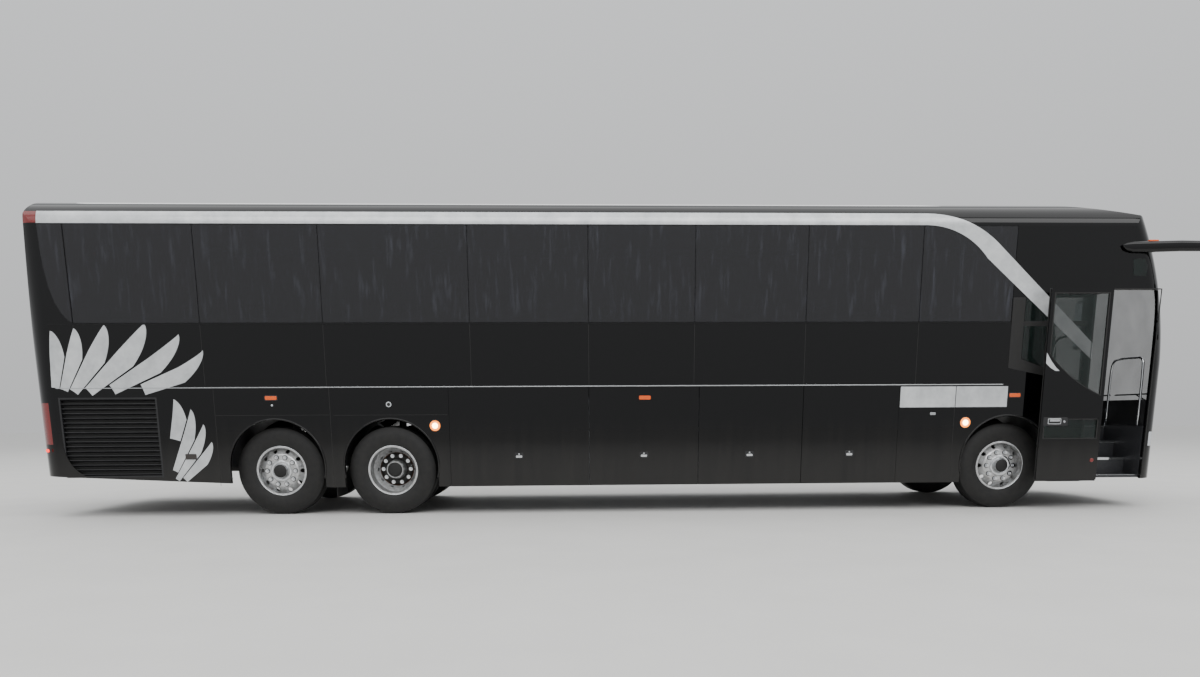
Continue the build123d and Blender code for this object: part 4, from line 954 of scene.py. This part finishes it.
# Blocks on the tail: name, body, material, edge, and corners behind the rear end, each from low to high
for label, body, material, edge, boxes in (
        ("engine_louvre_panel", "engine_lid", SEAL, 0.001, [((0.003, -0.68, 0.765), (-0.001, 0.68, 1.192))]),
        ("engine_door_handle", "engine_lid", CHROME, 0.003, [((0.010, -0.09, 0.738), (0, 0.09, 0.758))]),
        ("rear_plate", "coach", WHITE, 0.001, [((0.004, -0.1525, 0.52), (0.0003, 0.1525, 0.675))]),
        ("rear_plate_lamps", "coach", PLASTIC, 0.003, [((0.014, -0.10, 0.680), (0.0003, -0.04, 0.698)),
                                                       ((0.014, 0.04, 0.680), (0.0003, 0.10, 0.698))]),
        ("rear_reflectors", "coach", RED, 0.002, [((0.005, -0.98, 0.58), (0.0003, -0.86, 0.62)),
                                                  ((0.005, 0.86, 0.58), (0.0003, 0.98, 0.62))])):
    blocks(label, [tuple((X_REAR - x, y, z) for x, y, z in ends) for ends in boxes], material, body, edge)
for name, side in SIDES:
    side_slab(f"tail_spot_{name}", [circle(X_REAR + 0.125, 0.79, 0.020, 20)], side, 0.0, 0.006, LIT_RED,
              edge=0.001)


# nose: headlamp optics, lower intake, blank plate, wipers
def nose_x(y, stand=0.0):
    """The nose's face at a distance from the middle."""
    return X_FRONT - CROWN + math.sqrt((CROWN + stand) ** 2 - y * y)


def nose_disc(name, y, z, profile, material, segments=40):
    """A profile of (proud, radius) points turned about the nose's normal at a place."""
    turn = math.asin(y / CROWN)
    along = Vector((math.cos(turn), math.sin(turn), 0))
    across = Vector((-math.sin(turn), math.cos(turn), 0))
    base = Vector((nose_x(y), y, z))
    verts = [base + along * proud + across * radius * c + Vector((0, 0, radius * s))
             for proud, radius in profile for c, s in compass(segments)]
    piece(name, verts, skin(len(profile), segments), material, smooth=True)


def nose_strip(name, y_low, y_high, z_low, z_high, near, far, material, count=20):
    """A band that follows the crown of the nose."""
    verts = []
    for i in range(count + 1):
        y = y_low + (y_high - y_low) * i / count
        for stand, z in ((near, z_low), (far, z_low), (far, z_high), (near, z_high)):
            verts.append((nose_x(y, stand), y, z))
    piece(name, verts, skin(count + 1, 4), material)


# Turned lamps and spindle of the nose, as (proud, radius), and the wiper arm's sections
LAMP_RADIUS = 0.058
BEZEL = [(0.0003, LAMP_RADIUS + 0.012), (0.010, LAMP_RADIUS + 0.010), (0.012, LAMP_RADIUS),
         (0.004, LAMP_RADIUS - 0.004), (0.0035, 0.001)]
LAMP_LENS = [(0.004, LAMP_RADIUS - 0.005), (0.012, LAMP_RADIUS - 0.012), (0.017, 0.030), (0.019, 0.001)]
SPINDLE = [(0.0003, 0.026), (0.034, 0.024), (0.038, 0.016), (0.038, 0.001)]
WIPER_SIZES = [(0.024, 0.012), (0.028, 0.014), (0.026, 0.014), (0.022, 0.012), (0.018, 0.012), (0.015, 0.011),
               (0.012, 0.010)]
for name, side in SIDES:
    for number, lamp_y in enumerate((0.79, 0.94)):
        nose_disc(f"headlamp_bezel_{name}_{number}", side * lamp_y, 0.845, BEZEL, CHROME)
        nose_disc(f"headlamp_lens_{name}_{number}", side * lamp_y, 0.845, LAMP_LENS, WHITE)
    # Wiper: spindle, arm and blade
    nose_disc(f"wiper_spindle_{name}", side * 1.00, 1.250, SPINDLE, PLASTIC, 28)
    wiper_path = []
    for t in (0, 0.1, 0.3, 0.5, 0.7, 0.9, 1.0):
        y = 1.00 - 0.48 * t
        wiper_path.append((nose_x(y, 0.033 - 0.006 * t), side * y, 1.250 + 0.146 * t))
    lofted(f"wiper_arm_{name}", wiper_path, WIPER_SIZES, PLASTIC, count=12)
    nose_strip(f"wiper_blade_{name}", side * 0.06, side * 0.96, 1.387, 1.405, 0.012, 0.026, PLASTIC)
    nose_strip(f"wiper_rubber_{name}", side * 0.06, side * 0.96, 1.392, 1.399, 0.0004, 0.013, SEAL)
for row in range(6):
    z = 0.440 + 0.030 * row
    nose_strip(f"intake_slat_{row}", -0.62, 0.62, z, z + 0.012, 0.0003, 0.012, PLASTIC, 24)
nose_strip("intake_panel", -0.64, 0.64, 0.425, 0.618, 0.0002, 0.003, SEAL, 24)
nose_strip("nose_plate_blank", -0.1525, 0.1525, 0.690, 0.845, 0.0004, 0.004, WHITE, 6)
nose_strip("nose_crease_upper", -1.02, 1.02, 1.150, 1.158, 0.0002, 0.004, CHROME, 24)

# roof hatches with rolled edges
for number, hatch_x in enumerate((X_DRIVE - 1.2, X_DRIVE + 4.6)):
    for label, half, low, high, material, edge in (("roof_hatch", 0.36, 3.6435, 3.682, BLACK, 0.012),
                                                   ("roof_hatch_seal", 0.38, 3.640, 3.662, SEAL, 0.003)):
        blocks(f"{label}_{number}", [((hatch_x - half, -half, low), (hatch_x + half, half, high))],
               material, edge=edge)


# seats: padded forms behind the glass
def pad(name, size, crown, pinch, bow=0.0, wing=0.0):
    """A crowned cushion about its own middle: sides pull in between the corners, seams round the edge."""
    lx, ly, lz = size
    work = bmesh.new()
    bmesh.ops.create_cube(work, size=1.0)
    bmesh.ops.subdivide_edges(work, edges=work.edges, cuts=7, use_grid_fill=True)
    for vertex in work.verts:
        u, v, w = (2 * c for c in vertex.co)
        edge_x, edge_y = 1 - u * u, 1 - v * v
        x = u * lx / 2 * (1 - pinch * edge_y if abs(u) > 0.9 else 1)
        y = v * ly / 2 * (1 - pinch * edge_x if abs(v) > 0.9 else 1)
        z = w * lz / 2 * ((1 - crown) + crown * edge_x ** 0.6 * edge_y ** 0.6)
        # sewn channels across the pad and raised side rolls
        if w > 0.9:
            z += wing * abs(v) ** 4 - 0.006 * math.exp(-((abs(u) - 0.33) / 0.07) ** 2) - bow * edge_x
        vertex.co = (x, y, z)
    mesh = bpy.data.meshes.new(name)
    work.to_mesh(mesh)
    work.free()
    return linked(name, mesh)


# Cloth solver: pressure in the pads, last frame, farthest that a point may move
PRESSURE = 4.0
LAST_FRAME = 20
MOST_SWELL = 0.010


def puffed(made):
    """Blow a pad up a little with the cloth solver and round it."""
    scene = bpy.context.scene
    cloth = made.modifiers.new("cloth", "CLOTH")
    cloth.settings.use_pressure = True
    cloth.settings.uniform_pressure_force = PRESSURE
    cloth.settings.effector_weights.gravity = 0
    cloth.point_cache.frame_start = 1
    cloth.point_cache.frame_end = LAST_FRAME
    for step in range(1, LAST_FRAME + 1):
        scene.frame_set(step)
    shaped = evaluated(made)
    made.modifiers.clear()
    for vertex, after in zip(made.data.vertices, shaped.vertices):
        move = after.co - vertex.co
        vertex.co = vertex.co + move * (MOST_SWELL / move.length if move.length > MOST_SWELL else 1.0)
    bpy.data.meshes.remove(shaped)
    scene.frame_set(1)
    swell = made.modifiers.new("round", "SUBSURF")
    swell.levels = swell.render_levels = 1
    mesh = evaluated(made)
    made.modifiers.clear()
    bpy.data.objects.remove(made)
    return mesh


def leaned(mesh, angle, x, z):
    """Lean a pad back about y and set it in place."""
    for vertex in mesh.vertices:
        u, v, w = vertex.co
        vertex.co = (x + u * math.cos(angle) + w * math.sin(angle), v,
                     z - u * math.sin(angle) + w * math.cos(angle))
    return mesh


def seat_row_tree(tree, given):
    """One seat's form repeated along the coach."""
    offset = put(tree, "ShaderNodeCombineXYZ", links={"X": given["Pitch"]})
    line = put(tree, "GeometryNodeMeshLine", links={"Count": given["Count"], "Offset": offset})
    form = put(tree, "GeometryNodeObjectInfo", links={"Object": given["Seat"]}).outputs["Geometry"]
    return put(tree, "GeometryNodeInstanceOnPoints", links={"Points": line, "Instance": form})


def joined(name, meshes, material):
    """Several plain meshes as one object."""
    work = bmesh.new()
    for mesh in meshes:
        work.from_mesh(mesh)
    whole = bpy.data.meshes.new(name)
    work.to_mesh(whole)
    work.free()
    whole.materials.append(material)
    return linked(name, whole)


SEAT_PITCH = 0.840
SEAT_ROWS = 13
FIRST_ROW = X_REAR + 0.900
FLOOR = 1.400
BACK_ANGLE = -(math.pi / 2 - math.atan2(0.160, 0.610))
cushion = puffed(pad("seat_cushion_form", (0.43, 0.46, 0.100), 0.30, 0.03, 0.004, 0.010))
back = puffed(pad("seat_back_form", (0.62, 0.45, 0.082), 0.28, 0.03, 0.0, 0.014))
head_pad = puffed(pad("seat_head_form", (0.16, 0.28, 0.060), 0.45, 0.05))
pads = [leaned(cushion, -0.03, 0.275, 0.424), leaned(back, BACK_ANGLE, -0.010, 0.760),
        leaned(head_pad, BACK_ANGLE, -0.050, 0.985)]
seat_form = joined("seat_pad_form", pads, MOQUETTE)
frame_form = blocks("seat_frame_form", [((0.15, -0.21, 0.0), (0.31, -0.17, 0.368)),
                                        ((0.15, 0.17, 0.0), (0.31, 0.21, 0.368)),
                                        ((0.02, -0.475, 0.352), (0.45, 0.475, 0.376)),
                                        ((0.01, -0.020, 0.590), (0.33, 0.020, 0.622)),
                                        ((0.01, -0.488, 0.590), (0.33, -0.452, 0.622))], PLASTIC, edge=0.006)


def seat_row(name, form, y, material, smooth):
    """A seat's form in all rows of the coach, at a distance from its middle."""
    row = repeated(name, seat_row_tree,
                   (("Count", "NodeSocketInt", SEAT_ROWS), ("Pitch", "NodeSocketFloat", SEAT_PITCH),
                    ("Seat", "NodeSocketObject", form)), material)
    return placed(name, row, (FIRST_ROW, y, FLOOR), smooth=smooth)


for name, side in SIDES:
    for column, seat_y in enumerate((0.476, 0.969)):
        made = seat_row(f"seat_pads_{name}_{column}", seat_form, side * seat_y, MOQUETTE, True)
        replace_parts(made, "seats")
    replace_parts(seat_row(f"seat_frames_{name}", frame_form, side * 0.7225, PLASTIC, False), "seats")
driver = joined("driver_seat_pads", pads, MOQUETTE)
for vertex in driver.data.vertices:
    vertex.co = vertex.co + Vector((X_FRONT - 1.480, 0.700, 1.000))
smoothed(driver.data)
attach(driver, "coach")
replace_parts(driver, "seats")
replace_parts(blocks("driver_seat_base", [((X_FRONT - 1.36, 0.55, 1.0002), (X_FRONT - 1.12, 0.85, 1.33)),
                                        ((X_FRONT - 1.43, 0.49, 1.325), (X_FRONT - 1.03, 0.91, 1.376))],
                   PLASTIC, edge=0.012), "seats")
bpy.data.objects.remove(seat_form)
bpy.data.objects.remove(frame_form)

# studio
FLOOR_REACH = 60
floor_mesh = bpy.data.meshes.new("studio_floor")
floor_mesh.from_pydata([(x, y, -0.002) for x, y in box(-FLOOR_REACH, FLOOR_REACH, -FLOOR_REACH, FLOOR_REACH)],
                       [], [(0, 1, 2, 3)])
floor = linked("studio_floor", floor_mesh)
floor_mesh.materials.append(pale_studio_floor())

# A pale sky that fades into the floor at the horizon
world = bpy.data.worlds.new("soft_sky")
bpy.context.scene.world = world
world.use_nodes = True
sky = world.node_tree
direction = put(sky, "ShaderNodeTexCoord").outputs["Generated"]
height = put(sky, "ShaderNodeSeparateXYZ", links={0: direction}).outputs["Z"]
rise = put(sky, "ShaderNodeMapRange", {"From Min": 0.0, "From Max": 0.5}, {"Value": height})
fade = put(sky, "ShaderNodeValToRGB", links={0: rise}, stops=((0.0, "#cfd0d1"), (1.0, "#f4f6f8")))
sky.links.new(fade.outputs[0], sky.nodes["Background"].inputs["Color"])


def softbox(name, place, target, size, power):
    """A large soft area light aimed at a point."""
    data = bpy.data.lights.new(name, "AREA")
    data.shape = "RECTANGLE"
    data.size, data.size_y = size
    data.energy = power
    made = linked(name, data)
    made.location = place
    made.rotation_euler = (Vector(target) - Vector(place)).to_track_quat("-Z", "Y").to_euler()


softbox("overhead", (0, -2, 16), (0, 0, 1), (34, 16), 2200)
softbox("front_fill", (2, -20, 17), (0, 0, 1.5), (36, 8), 2600)
softbox("rear_fill", (-2, 18, 15), (0, 0, 1.5), (30, 8), 1200)

# Camera at the photograph's place: 26 mm lens, tipped down a little, with a vertical shift
camera_data = bpy.data.cameras.new("camera")
camera_data.sensor_width = 36.0
camera_data.lens = 867 / 1200 * 36.0
camera_data.shift_y = 0.20
camera_data.clip_end = 300
camera = linked("camera", camera_data)
RIGHT = Vector((0.999268, -0.037869, -0.005415))
UP = Vector((0.012342, 0.185181, 0.982627))
AHEAD = Vector((0.036209, 0.981974, -0.185513))
PLACE = Vector((X_DRIVE + 2.1075, -11.8701, 1.1714))
camera.matrix_world = Matrix((*zip(RIGHT, UP, -AHEAD, PLACE), (0, 0, 0, 1)))
bpy.context.scene.camera = camera
